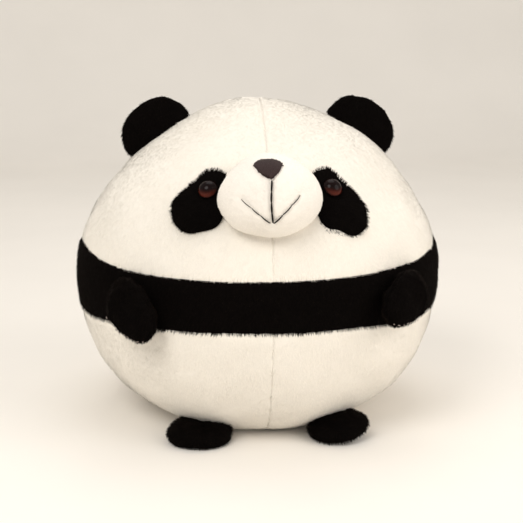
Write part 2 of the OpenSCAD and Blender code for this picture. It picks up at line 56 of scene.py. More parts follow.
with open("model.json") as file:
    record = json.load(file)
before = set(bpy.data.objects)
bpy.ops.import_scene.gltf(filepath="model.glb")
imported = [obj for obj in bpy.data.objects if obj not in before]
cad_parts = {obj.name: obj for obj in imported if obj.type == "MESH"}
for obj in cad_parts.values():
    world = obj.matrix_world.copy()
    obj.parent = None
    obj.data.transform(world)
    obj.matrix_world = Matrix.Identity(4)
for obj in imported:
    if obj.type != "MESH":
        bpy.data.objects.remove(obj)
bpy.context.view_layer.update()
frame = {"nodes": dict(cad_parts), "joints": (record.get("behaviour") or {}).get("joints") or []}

MM = 0.001
SIDES = {"left": -1, "right": 1}
QUARTER = math.pi / 2
HALF_TURN = math.pi
crown_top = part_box("head_back_right")[1].z
band_low, band_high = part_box("band_front")
joint_at = {joint["name"]: Vector(joint["pos_m"]) for joint in frame["joints"]}


# ---- Settings ----


def length(name, description, default):
    return bpy.props.FloatProperty(
        name=name, description=description, default=default, subtype="DISTANCE", unit="LENGTH"
    )


def angle(name, description, degrees):
    return bpy.props.FloatProperty(
        name=name, description=description, default=math.radians(degrees), subtype="ANGLE", unit="ROTATION"
    )


def share(name, description, default):
    return bpy.props.FloatProperty(name=name, description=description, default=default)


def colour(name, description, default):
    return bpy.props.FloatVectorProperty(
        name=name, description=description, default=default, subtype="COLOR", size=3, min=0.0, max=1.0
    )


class PandaBody(bpy.types.PropertyGroup):
    """The stuffed ball and its seams."""

    half_width: length("Half width", "Half of the body's width", band_high.x)
    half_depth: length("Half depth", "Half of the body's depth", -band_low.y)
    height: length("Height", "Height of the crown above the seat", crown_top)
    widest_height: length("Widest height", "Height of the widest ring", 102 * MM)
    seat_radius: length("Seat radius", "Radius of the flat seat", 60 * MM)
    crown_round: share("Crown roundness", "Roundness of the upper half, where 2 is an ellipse", 1.74)
    belly_round: share("Belly roundness", "Roundness of the lower half, where 2 is an ellipse", 2.56)
    band_above: length("Band above", "Upper seam of the band above the widest ring", 11.8 * MM)
    band_tilt: length("Band tilt", "How much higher the upper seam runs on the right side", 0.4 * MM)
    band_below: length("Band below", "Lower seam of the band below the widest ring", 20.7 * MM)
    band_rise: length("Band rise", "How much higher the upper seam runs at the sides", 7.7 * MM)
    band_drop: length("Band drop", "How much lower the lower seam runs at the sides", 6.8 * MM)
    seam_pull: length("Seam pull", "How deep the stitches draw the fabric in", 1.1 * MM)
    fabric: length("Fabric", "Thickness of the fabric below its pile", 2.4 * MM)


class PandaPile(bpy.types.PropertyGroup):
    """The standing pile."""

    long_pile: length("Body pile", "Length of a tuft on the body and limbs", 3.0 * MM)
    short_pile: length("Muzzle pile", "Length of a tuft on the muzzle", 1.6 * MM)
    tuft_width: length("Tuft width", "Width of a tuft at its root", 0.55 * MM)
    per_mm2: share("Tufts per square millimetre", "How close the tufts stand on the body", 1.4)
    lean: angle("Lean", "How far the tufts lean over from upright", 80)
    black_lean: angle("Black lean", "How far the tufts of the black pile lean over", 60)
    sunk: length("Ground below outline", "How far the fabric lies below the tips of its pile", 0.5 * MM)


class PandaFace(bpy.types.PropertyGroup):
    """The muzzle, nose, mouth and eyes."""

    muzzle_below_crown: length("Muzzle below crown", "Depth of its middle below the crown", 51.5 * MM)
    muzzle_out: length("Muzzle out", "How far the muzzle's centre stands in front of the face", 4 * MM)
    muzzle_half_w: length("Muzzle half width", "Half width of the muzzle", 30.8 * MM)
    muzzle_half_d: length("Muzzle half depth", "Half depth of the muzzle", 29.8 * MM)
    muzzle_half_h: length("Muzzle half height", "Half height of the muzzle", 25.3 * MM)
    nose_width: length("Nose width", "Width of the embroidered nose", 17.5 * MM)
    muzzle_taper: share("Muzzle taper", "How much narrower the muzzle is at its top than its middle", 0.09)
    muzzle_aside: length("Muzzle aside", "How far the stuffed muzzle sits beside the middle", -1 * MM)
    nose_aside: length("Nose aside", "How far the nose sits beside the muzzle's middle", -2.1 * MM)
    nose_high: length("Nose top", "Top of the nose above the muzzle's centre", 23.6 * MM)
    nose_low: length("Nose tip", "Tip of the nose above the muzzle's centre", 13.9 * MM)
    eye_x: length("Eye from middle", "Distance of each eye from the middle of the face", 38 * MM)
    left_eye_in: length("Left eye in", "How much nearer the middle the left dome sits", 1.2 * MM)
    eye_up: length("Eye up", "Height of the eyes above the muzzle's centre", 1 * MM)
    eye_width: length("Eye diameter", "Diameter of the safety eyes", 12 * MM)
    eye_dome: length("Eye dome", "Height of the safety eyes' dome", 4.6 * MM)
    pupil_width: length("Pupil diameter", "Diameter of the pupil", 5.6 * MM)
    patch: length("Patch", "Thickness of the eye patches", 2 * MM)


class PandaLimbs(bpy.types.PropertyGroup):
    """The ears, arms and feet."""

    ear_below_crown: length("Ear below crown", "Depth of the ears' seams below the crown", 25 * MM)
    ear_half_w: length("Ear half width", "Half width of an ear at its root", 24.3 * MM)
    ear_height: length("Ear height", "Height of an ear above its root axis", 20.4 * MM)
    ear_sunk: length("Ear sunk", "How far the ears' roots are sewn into the head", 2.6 * MM)
    ear_lower: length("Ear lower", "How far the ears sit down the side of the head", 0.2 * MM)
    ear_half_t: length("Ear half thickness", "Half thickness of an ear", 6.6 * MM)
    arm_az: angle("Arm place", "Angle of the arms round the body from the front", 46)
    arm_length: length("Arm length", "Length from the root axis to the tip", 38 * MM)
    arm_root_r: length("Arm root", "Half width of an arm at its root", 14.5 * MM)
    arm_tip_r: length("Arm tip", "Half width of an arm at its tip", 11 * MM)
    arm_half_t: length("Arm half thickness", "Half thickness of an arm", 8 * MM)
    arm_roll: angle("Arm roll", "How far the arms' upper edges lean in", 12)
    left_droop: angle("Left droop", "How far the left arm points downwards", 40)
    right_droop: angle("Right droop", "How far the right arm points downwards", 23)
    foot_half_w: length("Foot half width", "Half width of a foot", 20 * MM)
    foot_length: length("Foot length", "Length of a foot", 37 * MM)
    foot_height: length("Foot height", "Height of a foot", 13.2 * MM)
    foot_turn: angle("Right foot turn", "How far the right foot's toe points outwards", 18)
    foot_roll: angle("Right foot roll", "How far the right foot's outer side is raised", 7)
    foot_seam: length("Foot seam", "Height of the seam round a foot", 3.2 * MM)


class PandaColours(bpy.types.PropertyGroup):
    """The colours of the fabrics, threads and eyes."""

    white: colour("White pile", "Cream white of the body", (0.90, 0.845, 0.755))
    muzzle: colour("Muzzle pile", "White of the muzzle", (0.92, 0.865, 0.785))
    black: colour("Black pile", "Warm black of the band, limbs and patches", (0.0026, 0.0018, 0.0015))
    nose: colour("Nose thread", "Brown grey of the nose", (0.030, 0.018, 0.017))
    mouth: colour("Mouth thread", "Dark thread of the mouth", (0.006, 0.004, 0.003))
    # Painted highlight: the arms' seam stitches are this light grey brown, standing in for the light along
    # each seam's ridge.
    arm_seam: colour("Arm seam thread", "Grey brown of the stitches in the arms' seams", (0.32, 0.27, 0.24))
    # Painted glow: this red brown shows mainly in the glow painted low in the eyes and near their rims.
    amber: colour("Eye", "Red brown of the eyes", (0.15, 0.022, 0.010))
    pupil: colour("Pupil", "Black of the pupils", (0.003, 0.002, 0.002))
    washer: colour("Washer", "Off white of the nylon washers", (0.82, 0.81, 0.78))
    filling: colour("Filling", "White of the polyester filling", (0.86, 0.86, 0.84))
    floor: colour("Floor", "Colour of the floor", (0.93, 0.89, 0.83))


class PandaStage(bpy.types.PropertyGroup):
    """The camera and the lights."""

    view_turn: angle("View turn", "Angle of the camera round the toy", -4.7)
    view_rise: angle("View rise", "Angle of the camera above the floor", 13)
    view_distance: length("View distance", "Distance of the camera", 0.828)
    view_height: length("View height", "Height that the camera looks at", 99.8 * MM)
    view_aside: length("View aside", "How far the camera looks beside the middle", 2.08 * MM)
    lens_mm: share("Lens", "Focal length on a 36 mm sensor, in millimetres", 82.6)
    key_power: share("Key light", "Power of the key light in watts", 6.3)
    fill_power: share("Fill light", "Power of the fill light in watts", 4.5)
    sky: share("Sky", "Strength of the light from all round", 0.61)


# ---- Numbers ----


def unit(vectors):
    return vectors / np.maximum(np.linalg.norm(vectors, axis=-1, keepdims=True), 1e-12)


def mix(low, high, part):
    return low + (high - low) * part


def smooth(values):
    values = np.clip(values, 0, 1)
    return values * values * (3 - 2 * values)


def ripple(points, wave, seed, count=26):
    """Even noise of about unit height, whose bumps are about one wave apart."""
    rng = np.random.default_rng(seed)
    turns = unit(rng.normal(size=(count, 3))) * rng.uniform(0.6, 1.4, (count, 1)) * 2 * np.pi / wave
    return np.cos(points @ turns.T + rng.uniform(0, 2 * np.pi, count)).sum(axis=1) * math.sqrt(2 / count)


def dent(distance, width):
    return np.exp(-((distance / width) ** 2))


def groove(distance, layers):
    """Depth of a seam's groove and of the hollow round it: each a share and a width in millimetres."""
    return sum(part * dent(distance, width * MM) for part, width in layers)


def bumps(points, layers):
    """Noise in layers, each a height and a wave in millimetres, and a seed."""
    return sum(height * MM * ripple(points, wave * MM, seed) for height, wave, seed in layers)


def to_polyline(points, path):
    """Distance of each point from a line through the path's points."""
    best = np.full(len(points), 1e9)
    for start, end in zip(path[:-1], path[1:]):
        along = end - start
        part = np.clip((points - start) @ along / (along @ along), 0, 1)
        best = np.minimum(best, np.linalg.norm(points - start - part[:, None] * along, axis=1))
    return best


def corner_normals(points, faces):
    """Normal of each point, from the faces round it."""
    tri = points[faces]
    cross = np.cross(tri[:, 1] - tri[:, 0], tri[:, 2] - tri[:, 0])
    total = np.zeros_like(points)
    for k in range(3):
        for axis in range(3):
            total[:, axis] += np.bincount(faces[:, k], cross[:, axis], len(points))
    return unit(total)


# ---- The body's form ----


# The shares of the stitches' pull that each kind of seam has, and each share's width in millimetres.
MIDDLE_SEAM = ((0.5, 1.3), (0.2, 7))
SIDE_SEAM = ((1, 1.9), (0.6, 8))
LEVEL_SEAM = ((0.6, 1.6), (0.25, 6))
# Lumps of the filling under the skin, clumps of the long pile, and clumps of the muzzle's short pile.
FILLING_LUMPS = ((0.7, 74, 3), (0.22, 28, 5))
PILE_CLUMPS = ((0.06, 6, 21), (0.04, 2.8, 23))
MUZZLE_CLUMPS = ((0.09, 3, 53), (0.06, 1.6, 55))


class Ball:
    """The smooth round of the stuffed body.

    A place on it is an angle az from the middle of the front towards +X, and a climb, which is the
    length along the skin from the seat's rim up to that place."""

    # How late the band's seams bend away at the sides: a higher power bends them later.
    rise_bend = 8
    drop_bend = 3

    def __init__(self, body):
        self.body = body
        self.half_w = body.half_width
        self.half_d = body.half_depth
        self.widest = body.widest_height
        sunk = 1 - (body.seat_radius / self.half_w) ** body.belly_round
        self.depths = (body.height - self.widest, self.widest / sunk ** (1 / body.belly_round))
        seat_lat = -math.asin((self.widest / self.depths[1]) ** (body.belly_round / 2))
        self.lats = np.linspace(seat_lat, QUARTER, 6001)
        ring, self.heights = self.profile(self.lats)
        steps = np.hypot(np.diff(ring) * self.half_w, np.diff(self.heights))
        self.climbs = np.concatenate([[0], np.cumsum(steps)])
        self.top = self.climbs[-1]

    def powers(self, lat):
        upper = lat >= 0
        power = np.where(upper, self.body.crown_round, self.body.belly_round)
        return power, np.where(upper, *self.depths)

    def profile(self, lat):
        power, depth = self.powers(lat)
        ring = np.clip(np.cos(lat), 0, 1) ** (2 / power)
        return ring, self.widest + np.sign(lat) * depth * np.abs(np.sin(lat)) ** (2 / power)

    def lat_of(self, climb):
        return np.interp(climb, self.climbs, self.lats)

    def lat_at(self, height):
        return np.interp(height, self.heights, self.lats)

    def climb_at(self, height):
        return np.interp(height, self.heights, self.climbs)

    def normal(self, az, lat):
        power, depth = self.powers(lat)
        ring, height = self.profile(lat)
        wide = ring ** (power - 1)
        tall = np.sign(lat) * (np.abs(height - self.widest) / depth) ** (power - 1) / depth
        return unit(np.stack([wide * np.sin(az) / self.half_w, -wide * np.cos(az) / self.half_d, tall], -1))

    def point(self, az, lat, out=0.0):
        ring, height = self.profile(lat)
        spot = np.stack([self.half_w * ring * np.sin(az), -self.half_d * ring * np.cos(az), height], -1)
        return spot + np.expand_dims(np.asarray(out, float), -1) * self.normal(az, lat)

    def facing(self, x, height):
        """Angle and latitude of the place on the front at x and a height."""
        lat = self.lat_at(height)
        return np.arcsin(np.clip(x / (self.half_w * self.profile(lat)[0]), -1, 1)), lat

    def front(self, x, height, out=0.0):
        return self.point(*self.facing(x, height), out)

    def depth_inside(self, points):
        """Rough depth of each point below the body's surface, negative outside."""
        lat = self.lat_at(points[:, 2])
        rho = np.hypot(points[:, 0] / self.half_w, points[:, 1] / self.half_d)
        az = np.arctan2(points[:, 0], -points[:, 1])
        ring = self.profile(lat)[0]
        level = np.linalg.norm(self.normal(az, lat)[:, :2], axis=1)
        depth = (ring - rho) * self.half_w * level
        above = points[:, 2] - self.body.height
        return np.where(above > 0, -above, depth)

    def underside(self, points):
        """Height of the body's underside over each point."""
        power = self.body.belly_round
        rho = np.clip(np.hypot(points[:, 0] / self.half_w, points[:, 1] / self.half_d), 0, 1)
        return self.widest - self.depths[1] * (1 - rho**power) ** (1 / power)

    def band_top(self, az):
        bend = np.abs(np.sin(az)) ** self.rise_bend
        rise = self.body.band_rise * bend + self.body.band_tilt * np.sin(az)
        return self.climb_at(self.widest + self.body.band_above + rise)

    def band_bottom(self, az):
        bend = np.abs(np.sin(az)) ** self.drop_bend
        return self.climb_at(self.widest - self.body.band_below - self.body.band_drop * bend)

    def seam_dents(self, az, climb, points):
        """How deep the seams draw the skin in, for places near them."""
        ring = self.profile(self.lat_of(climb))[0]
        top, bottom = self.band_top(az), self.band_bottom(az)
        in_band = (climb > bottom) & (climb < top)
        round_way = self.half_w * ring
        sides = round_way * np.abs(np.cos(az))
        middles = np.where(in_band, 1, round_way * np.abs(np.sin(az)))
        pucker = 1 + 0.35 * ripple(points, 9 * MM, 11)
        total = groove(middles, MIDDLE_SEAM) + groove(sides, SIDE_SEAM)
        for edge in (top, bottom, 0):
            total += groove(climb - edge, LEVEL_SEAM)
        return self.body.seam_pull * total * pucker


# Where the filling swells the skin or leaves it slack: a place, a reach and a height, in millimetres.
SKIN_LUMPS = (
    ((-122, 0, 96), 34, 2.4),
    ((0, 0, 214), 24, -0.7),
    ((32, -14, 207), 18, 1.0),
    ((62, -26, 192), 20, 1.4),
    ((-36, -14, 206), 16, 0.5),
)


# How wide and how deep each eye draws the head in.
EYE_PULL_REACH = 13 * MM
EYE_PULL_DEPTH = 1.6 * MM


def eye_height(ball, face):
    return ball.body.height - face.muzzle_below_crown + face.eye_up


def skin_offset(ball, face, az, climb, points):
    """How far the skin stands off the smooth ball: lumps of the filling, and dents."""
    offset = bumps(points, FILLING_LUMPS) - ball.seam_dents(az, climb, points)
    offset -= bpy.context.scene.panda_pile.sunk
    for place, reach, height in SKIN_LUMPS:
        away = np.linalg.norm(points - np.array(place) * MM, axis=1)
        offset += height * MM * dent(away, reach * MM)
    for side in SIDES.values():
        away = np.linalg.norm(points - ball.front(side * face.eye_x, eye_height(ball, face)), axis=1)
        offset -= EYE_PULL_DEPTH * dent(away, EYE_PULL_REACH)
    muzzle = muzzle_middle(ball, face)
    away = np.linalg.norm((points - muzzle) / muzzle_size(face), axis=1) - 1
    offset -= 1.5 * MM * dent(away * face.muzzle_half_h, 5 * MM)
    return offset


# ---- Meshes from arrays ----


def triangle_rows(rows):
    """Faces of a triangle of points: row i holds i + 1 of them."""
    faces = []
    for i in range(rows):
        upper = i * (i + 1) // 2
        lower = upper + i + 1
        j = np.arange(i + 1)
        faces.append(np.stack([upper + j, lower + j, lower + j + 1], 1))
        j = np.arange(i)
        faces.append(np.stack([upper + j, lower + j + 1, upper + j + 1], 1))
    return np.concatenate(faces)


def grid_faces(rows, cols, closed=False):
    """Triangles of a grid of points, whose rows run one after the other."""
    last = cols if closed else cols - 1
    i, j = np.meshgrid(np.arange(rows - 1), np.arange(last), indexing="ij")
    a = (i * cols + j).ravel()
    b = (i * cols + (j + 1) % cols).ravel()
    return np.concatenate([np.stack([a, b, b + cols], 1), np.stack([a, b + cols, a + cols], 1)])


def turns_of(count):
    """Even turns round a circle."""
    return np.arange(count) * 2 * np.pi / count


def disc(rings, around, first):
    """Reach and turn of each point of a disc, ring by ring, from a first reach out to 1."""
    grid = np.meshgrid(np.linspace(first, 1, rings), turns_of(around), indexing="ij")
    return grid[0].ravel(), grid[1].ravel()


def with_back(outer, inner, faces):
    """Points and faces of a closed panel between an outer and an inner sheet."""
    count = len(outer)
    edges = np.concatenate([faces[:, [0, 1]], faces[:, [1, 2]], faces[:, [2, 0]]])
    key = edges[:, 0] * count + edges[:, 1]
    open_edges = edges[~np.isin(key, edges[:, 1] * count + edges[:, 0])]
    a, b = open_edges[:, 0], open_edges[:, 1]
    walls = np.concatenate([np.stack([b, a, a + count], 1), np.stack([b, a + count, b + count], 1)])
    return np.concatenate([outer, inner]), np.concatenate([faces, faces[:, ::-1] + count, walls])


def make_piece(name, points, faces, material, body, padded_fill=None):
    """A mesh piece that rides on a body."""
    mesh = bpy.data.meshes.new(name)
    mesh.vertices.add(len(points))
    mesh.vertices.foreach_set("co", np.ascontiguousarray(points, np.float32).ravel())
    mesh.loops.add(faces.size)
    mesh.loops.foreach_set("vertex_index", np.ascontiguousarray(faces, np.int32).ravel())
    mesh.polygons.add(len(faces))
    mesh.polygons.foreach_set("loop_start", np.arange(0, faces.size, faces.shape[1], dtype=np.int32))
    mesh.update(calc_edges=True)
    mesh.validate()
    mesh.shade_smooth()
    for surface in material if isinstance(material, list) else [material]:
        mesh.materials.append(surface)
    piece = bpy.data.objects.new(name, mesh)
    bpy.context.scene.collection.objects.link(piece)
    if body is not None:
        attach(piece, body)
    return piece


def ball_mesh(level):
    """Points and faces of an even round of unit size."""
    form = bmesh.new()
    bmesh.ops.create_icosphere(form, subdivisions=level, radius=1)
    points = np.array([v.co for v in form.verts])
    faces = np.array([[v.index for v in f.verts] for f in form.faces])
    form.free()
    return points, faces


def tube(path, radius, sides=8, twist=0.0):
    """Points and faces of a closed thread along a path, in rings with a tip at each end."""
    path = np.asarray(path, float)
    along = unit(np.gradient(path, axis=0))
    side = unit(np.cross(along, [0.13, -0.97, 0.21]))
    up = np.cross(side, along)
    radius = np.broadcast_to(np.asarray(radius, float), len(path))
    turn = turns_of(sides)
    spin = turn[None, :] + twist * np.arange(len(path))[:, None]
    ring = np.cos(spin)[..., None] * side[:, None] + np.sin(spin)[..., None] * up[:, None]
    rings = path[:, None] + radius[:, None, None] * ring
    count = len(path) * sides
    points = np.concatenate([rings.reshape(-1, 3), path[:1], path[-1:]])
    j = np.arange(sides)
    first = np.stack([np.full(sides, count), (j + 1) % sides, j], 1)
    last = np.stack([np.full(sides, count + 1), count - sides + j, count - sides + (j + 1) % sides], 1)
    walls = grid_faces(len(path), sides, closed=True)
    faces = np.concatenate([walls, first, last])
    volume = np.einsum("ij,ij->i", points[faces[:, 0]], np.cross(points[faces[:, 1]], points[faces[:, 2]]))
    return points, faces if volume.sum() > 0 else faces[:, ::-1]


def joined(parts):
    """One set of points and faces from several."""
    points, faces, start = [], [], 0
    for some_points, some_faces in parts:
        points.append(some_points)
        faces.append(some_faces + start)
        start += len(some_points)
    return np.concatenate(points), np.concatenate(faces)


# ---- Pile ----


# A tuft's length and width, as shares of its setting, and the spread of its lean in radians.
TUFT_LENGTHS = (0.7, 1.15)
TUFT_WIDTHS = (0.75, 1.25)
LEAN_SPREAD = 0.05
# How deep a tuft is rooted, and how far its keel hangs below it, as a share of its half width.
ROOT_DEPTH = 0.3 * MM
KEEL = 0.6
# How far the shading of a tuft turns against its lean.
SHADING_TURN = 0.25


def sweep(points, normals, seed, towards=(0, 0, -1), swirl=0.16, scatter=0.2):
    """Direction along the skin in which each tuft leans."""
    rng = np.random.default_rng(seed)
    flow = np.broadcast_to(np.asarray(towards, float), points.shape)
    flow = unit(flow - normals * np.sum(flow * normals, axis=1, keepdims=True))
    for axis in range(3):
        flow[:, axis] += swirl * ripple(points, 48 * MM, 31 + axis, 16)
    flow += scatter * rng.normal(size=flow.shape)
    flow -= normals * np.sum(flow * normals, axis=1, keepdims=True)
    return unit(flow)


def grow(name, points, faces, normals, body, materials, pile, height, seed, spread=1.0, keep=None,
         towards=(0, 0, -1), trim=None, upright=False):
    """Tufts of pile on a sheet: each is a thin closed spike, leaning along the fabric, flat on top."""
    rng = np.random.default_rng(seed)
    tri = points[faces]
    area = np.linalg.norm(np.cross(tri[:, 1] - tri[:, 0], tri[:, 2] - tri[:, 0]), axis=1) / 2
    count = int(area.sum() / MM**2 * pile.per_mm2 * spread)
    chosen = faces[np.searchsorted(np.cumsum(area) / area.sum(), rng.random(count)).clip(0, len(faces) - 1)]
    first = np.sqrt(rng.random(count))
    second = rng.random(count)
    weights = np.stack([1 - first, first * (1 - second), first * second], 1)
    roots = np.einsum("ij,ijk->ik", weights, points[chosen])
    out = unit(np.einsum("ij,ijk->ik", weights, normals[chosen]))
    if keep is not None:
        kept = keep(roots)
        roots, out, count = roots[kept], out[kept], int(kept.sum())
    flow = sweep(roots, out, seed, towards(roots) if callable(towards) else towards)
    lean = (pile.black_lean if upright else pile.lean) + LEAN_SPREAD * rng.normal(size=count)
    reach = out * np.cos(lean)[:, None] + flow * np.sin(lean)[:, None]
    across = np.cross(out, flow)
    size = height * rng.uniform(*TUFT_LENGTHS, count)[:, None]
    if trim is not None:
        size = size * trim(roots)[:, None]
    width = pile.tuft_width * rng.uniform(*TUFT_WIDTHS, count)[:, None] / 2
    foot = roots - out * ROOT_DEPTH
    corners = [foot + across * width, foot - across * width, foot - np.cross(reach, across) * width * KEEL]
    tufts = np.stack(corners + [roots + reach * size], 1).reshape(-1, 3)
    tufts[:, 2] = np.maximum(tufts[:, 2], 0.2 * MM)
    shape = np.array([[0, 1, 3], [1, 2, 3], [2, 0, 3], [0, 2, 1]])
    spikes = (np.arange(count)[:, None, None] * 4 + shape).reshape(-1, 3)
    piece = make_piece(name, tufts, spikes, materials, body)
    piece.data.normals_split_custom_set_from_vertices(unit(out - SHADING_TURN * flow).repeat(4, axis=0))
    shades = rng.integers(0, len(materials), count).repeat(len(shape))
    piece.data.polygons.foreach_set("material_index", shades.astype(np.int32))
    piece.visible_shadow = False
    return piece


# ---- Materials ----


class Surface:
    """A node material under construction."""

    def __init__(self, name):
        self.material = bpy.data.materials.new(name)
        self.material.use_nodes = True
        self.tree = self.material.node_tree
        self.shader = self.tree.nodes["Principled BSDF"]
        self.place = self.add("ShaderNodeTexCoord").outputs["Object"]

    def add(self, kind, **values):
        node = self.tree.nodes.new(kind)
        for key, value in values.items():
            setattr(node, key, value)
        return node

    def link(self, source, target):
        self.tree.links.new(source, target)

    def noise(self, grain, detail=3.0, stretch=(1, 1, 1)):
        """Noise whose blotches are about a grain wide."""
        mapping = self.add("ShaderNodeMapping")
        mapping.inputs["Scale"].default_value = stretch
        self.link(self.place, mapping.inputs["Vector"])
        node = self.add("ShaderNodeTexNoise")
        node.inputs["Scale"].default_value = 1 / grain
        node.inputs["Detail"].default_value = detail
        self.link(mapping.outputs["Vector"], node.inputs["Vector"])
        return node.outputs["Fac"]

    def between(self, value, low, high):
        """The value's middle range, spread from low to high."""
        node = self.add("ShaderNodeMapRange")
        node.inputs["From Min"].default_value = 0.3
        node.inputs["From Max"].default_value = 0.7
        node.inputs["To Min"].default_value = low
        node.inputs["To Max"].default_value = high
        self.link(value, node.inputs["Value"])
        return node.outputs["Result"]

    def blended(self, value, first, second):
        node = self.add("ShaderNodeMix", data_type="RGBA")
        for socket, tone in ((node.inputs[6], first), (node.inputs[7], second)):
            if isinstance(tone, bpy.types.NodeSocket):
                self.link(tone, socket)
            else:
                socket.default_value = (*tone, 1)
        self.link(value, node.inputs[0])
        return node.outputs[2]

    def bump(self, value, height, strength=0.6, below=None):
        node = self.add("ShaderNodeBump")
        node.inputs["Strength"].default_value = strength
        node.inputs["Distance"].default_value = height
        self.link(value, node.inputs["Height"])
        if below is not None:
            self.link(below, node.inputs["Normal"])
        return node.outputs["Normal"]

    def finish(self, tone=None, rough=None, normal=None, **numbers):
        for socket, value in (("Base Color", tone), ("Roughness", rough), ("Normal", normal)):
            if value is not None:
                self.link(value, self.shader.inputs[socket])
        for name, value in numbers.items():
            self.shader.inputs[name.replace("_", " ")].default_value = value
        return self.material


def shaded(tone, factor):
    return tuple(min(1.0, c * factor) for c in tone)


def plush(name, tone, dip, sheen, tint, shine=0.12):
    """Knitted ground of a pile fabric: clumps of pile, with painted shade in streaks where they part."""
    s = Surface(name)
    clumps = s.noise(4.5 * MM, 4.0)
    patches = s.noise(38 * MM, 2.0)
    strokes = s.noise(1.6 * MM, 3.0, (1, 1, 0.35))
    base = s.blended(s.between(patches, 0, 1), tone, shaded(tone, dip))
    # Painted shade: the colour darkens in fine streaks where the pile parts.
    base = s.blended(s.between(strokes, 0, 0.3), base, shaded(tone, dip * dip))
    normal = s.bump(clumps, 0.3 * MM, 0.3, s.bump(strokes, 0.25 * MM, 0.35))
    return s.finish(base, s.between(clumps, 0.78, 0.98), normal, Sheen_Weight=sheen,
                    Sheen_Roughness=0.45, Sheen_Tint=(*tint, 1), Specular_IOR_Level=shine)


def pile_shades(name, tone, spread, sheen, tint, shine=0.12):
    """Three shades of one yarn, for the tufts of a pile."""
    shades = []
    for word, factor in (("light", 1 + spread), ("middle", 1), ("deep", 1 - spread)):
        s = Surface(f"{name}_{word}")
        s.shader.inputs["Base Color"].default_value = (*shaded(tone, factor), 1)
        s.shader.inputs["Roughness"].default_value = 0.85
        shades.append(s.finish(Sheen_Weight=sheen, Sheen_Roughness=0.4, Sheen_Tint=(*tint, 1),
                               Specular_IOR_Level=shine))
    return shades


def thread(name, tone, gloss, twist=0.45 * MM):
    """Twisted embroidery thread, with painted highlights and painted shade in streaks along its twist."""
    s = Surface(name)
    strands = s.noise(twist, 2.0, (1, 1, 2.5))
    # Painted highlights and painted shade: the colour runs from twice as light to half as dark along the
    # twist.
    base = s.blended(s.between(strands, 0, 1), shaded(tone, 2.1), shaded(tone, 0.5))
    normal = s.bump(strands, 0.15 * MM, 0.5)
    return s.finish(base, s.between(strands, gloss, gloss + 0.2), normal, Sheen_Weight=0.08,
                    Sheen_Roughness=0.35, Specular_IOR_Level=0.15)


def eye_plastic(name, tone, pupil, centre, out, radius, pupil_radius):
    """Clear brown plastic over a black pupil, with a painted glow: brightest near the rim and in the lower
    part, where light through the dome gathers, and painted as dark as the pupil above.
    """
    s = Surface(name)
    away = s.add("ShaderNodeVectorMath", operation="SUBTRACT")
    s.link(s.place, away.inputs[0])
    away.inputs[1].default_value = centre
    cross = s.add("ShaderNodeVectorMath", operation="CROSS_PRODUCT")
    s.link(away.outputs["Vector"], cross.inputs[0])
    cross.inputs[1].default_value = out
    reach = s.add("ShaderNodeVectorMath", operation="LENGTH")
    s.link(cross.outputs["Vector"], reach.inputs[0])
    ramp = s.add("ShaderNodeValToRGB")
    ratio = s.add("ShaderNodeMath", operation="DIVIDE")
    s.link(reach.outputs["Value"], ratio.inputs[0])
    ratio.inputs[1].default_value = radius
    s.link(ratio.outputs["Value"], ramp.inputs["Fac"])
    edge = pupil_radius / radius
    stops = ramp.color_ramp.elements
    stops[0].position, stops[0].color = edge - 0.04, (*pupil, 1)
    stops[1].position, stops[1].color = edge + 0.06, (*shaded(tone, 0.3), 1)
    # Painted glow: the brown brightens towards the rim, as light refracted through the dome would.
    for position, factor in ((0.82, 1.0), (0.94, 0.8), (1.0, 0.15)):
        stop = stops.new(position)
        stop.color = (*shaded(tone, factor), 1)
    # Painted glow and painted shade: the lower part shows the brown, and the upper part is painted as dark as
    # the pupil.
    low = s.add("ShaderNodeVectorMath", operation="DOT_PRODUCT")
    s.link(away.outputs["Vector"], low.inputs[0])
    low.inputs[1].default_value = (0, 0, -1 / radius)
    lit = s.add("ShaderNodeMapRange")
    lit.inputs["From Min"].default_value = 0.9
    lit.inputs["From Max"].default_value = -0.2
    s.link(low.outputs["Value"], lit.inputs["Value"])
    grain = s.noise(0.8 * MM, 2.0)
    base = s.blended(lit.outputs["Result"], ramp.outputs["Color"], pupil)
    base = s.blended(s.between(grain, 0, 0.25), base, shaded(tone, 0.2))
    return s.finish(base, s.between(grain, 0.10, 0.16), s.bump(grain, 0.02 * MM, 0.2),
                    Coat_Weight=0.6, Coat_Roughness=0.03, Coat_IOR=1.27, Specular_IOR_Level=0.0)


def moulded(name, tone, rough):
    """Plain moulded plastic with a fine grain."""
    s = Surface(name)
    grain = s.noise(0.6 * MM, 3.0)
    base = s.blended(s.between(grain, 0, 1), tone, shaded(tone, 0.85))
    shine = s.between(grain, rough - 0.06, rough + 0.08)
    return s.finish(base, shine, s.bump(grain, 0.05 * MM, 0.35), IOR=1.5)


def fibre_fill(name, tone):
    """Loose polyester filling."""
    s = Surface(name)
    curls = s.noise(2.2 * MM, 8.0)
    lumps = s.noise(14 * MM, 3.0)
    base = s.blended(s.between(curls, 0, 1), tone, shaded(tone, 0.72))
    normal = s.bump(lumps, 3 * MM, 0.7, s.bump(curls, 0.9 * MM, 0.8))
    return s.finish(base, s.between(curls, 0.85, 1.0), normal, Sheen_Weight=0.3, Specular_IOR_Level=0.1)


def floor_finish(name, tone):
    s = Surface(name)
    grain = s.noise(3 * MM, 5.0)
    clouds = s.noise(160 * MM, 2.0)
    base = s.blended(s.between(clouds, 0, 1), tone, shaded(tone, 0.97))
    normal = s.bump(grain, 0.3 * MM, 0.15)
    return s.finish(base, s.between(grain, 0.82, 0.95), normal, Specular_IOR_Level=0.15)


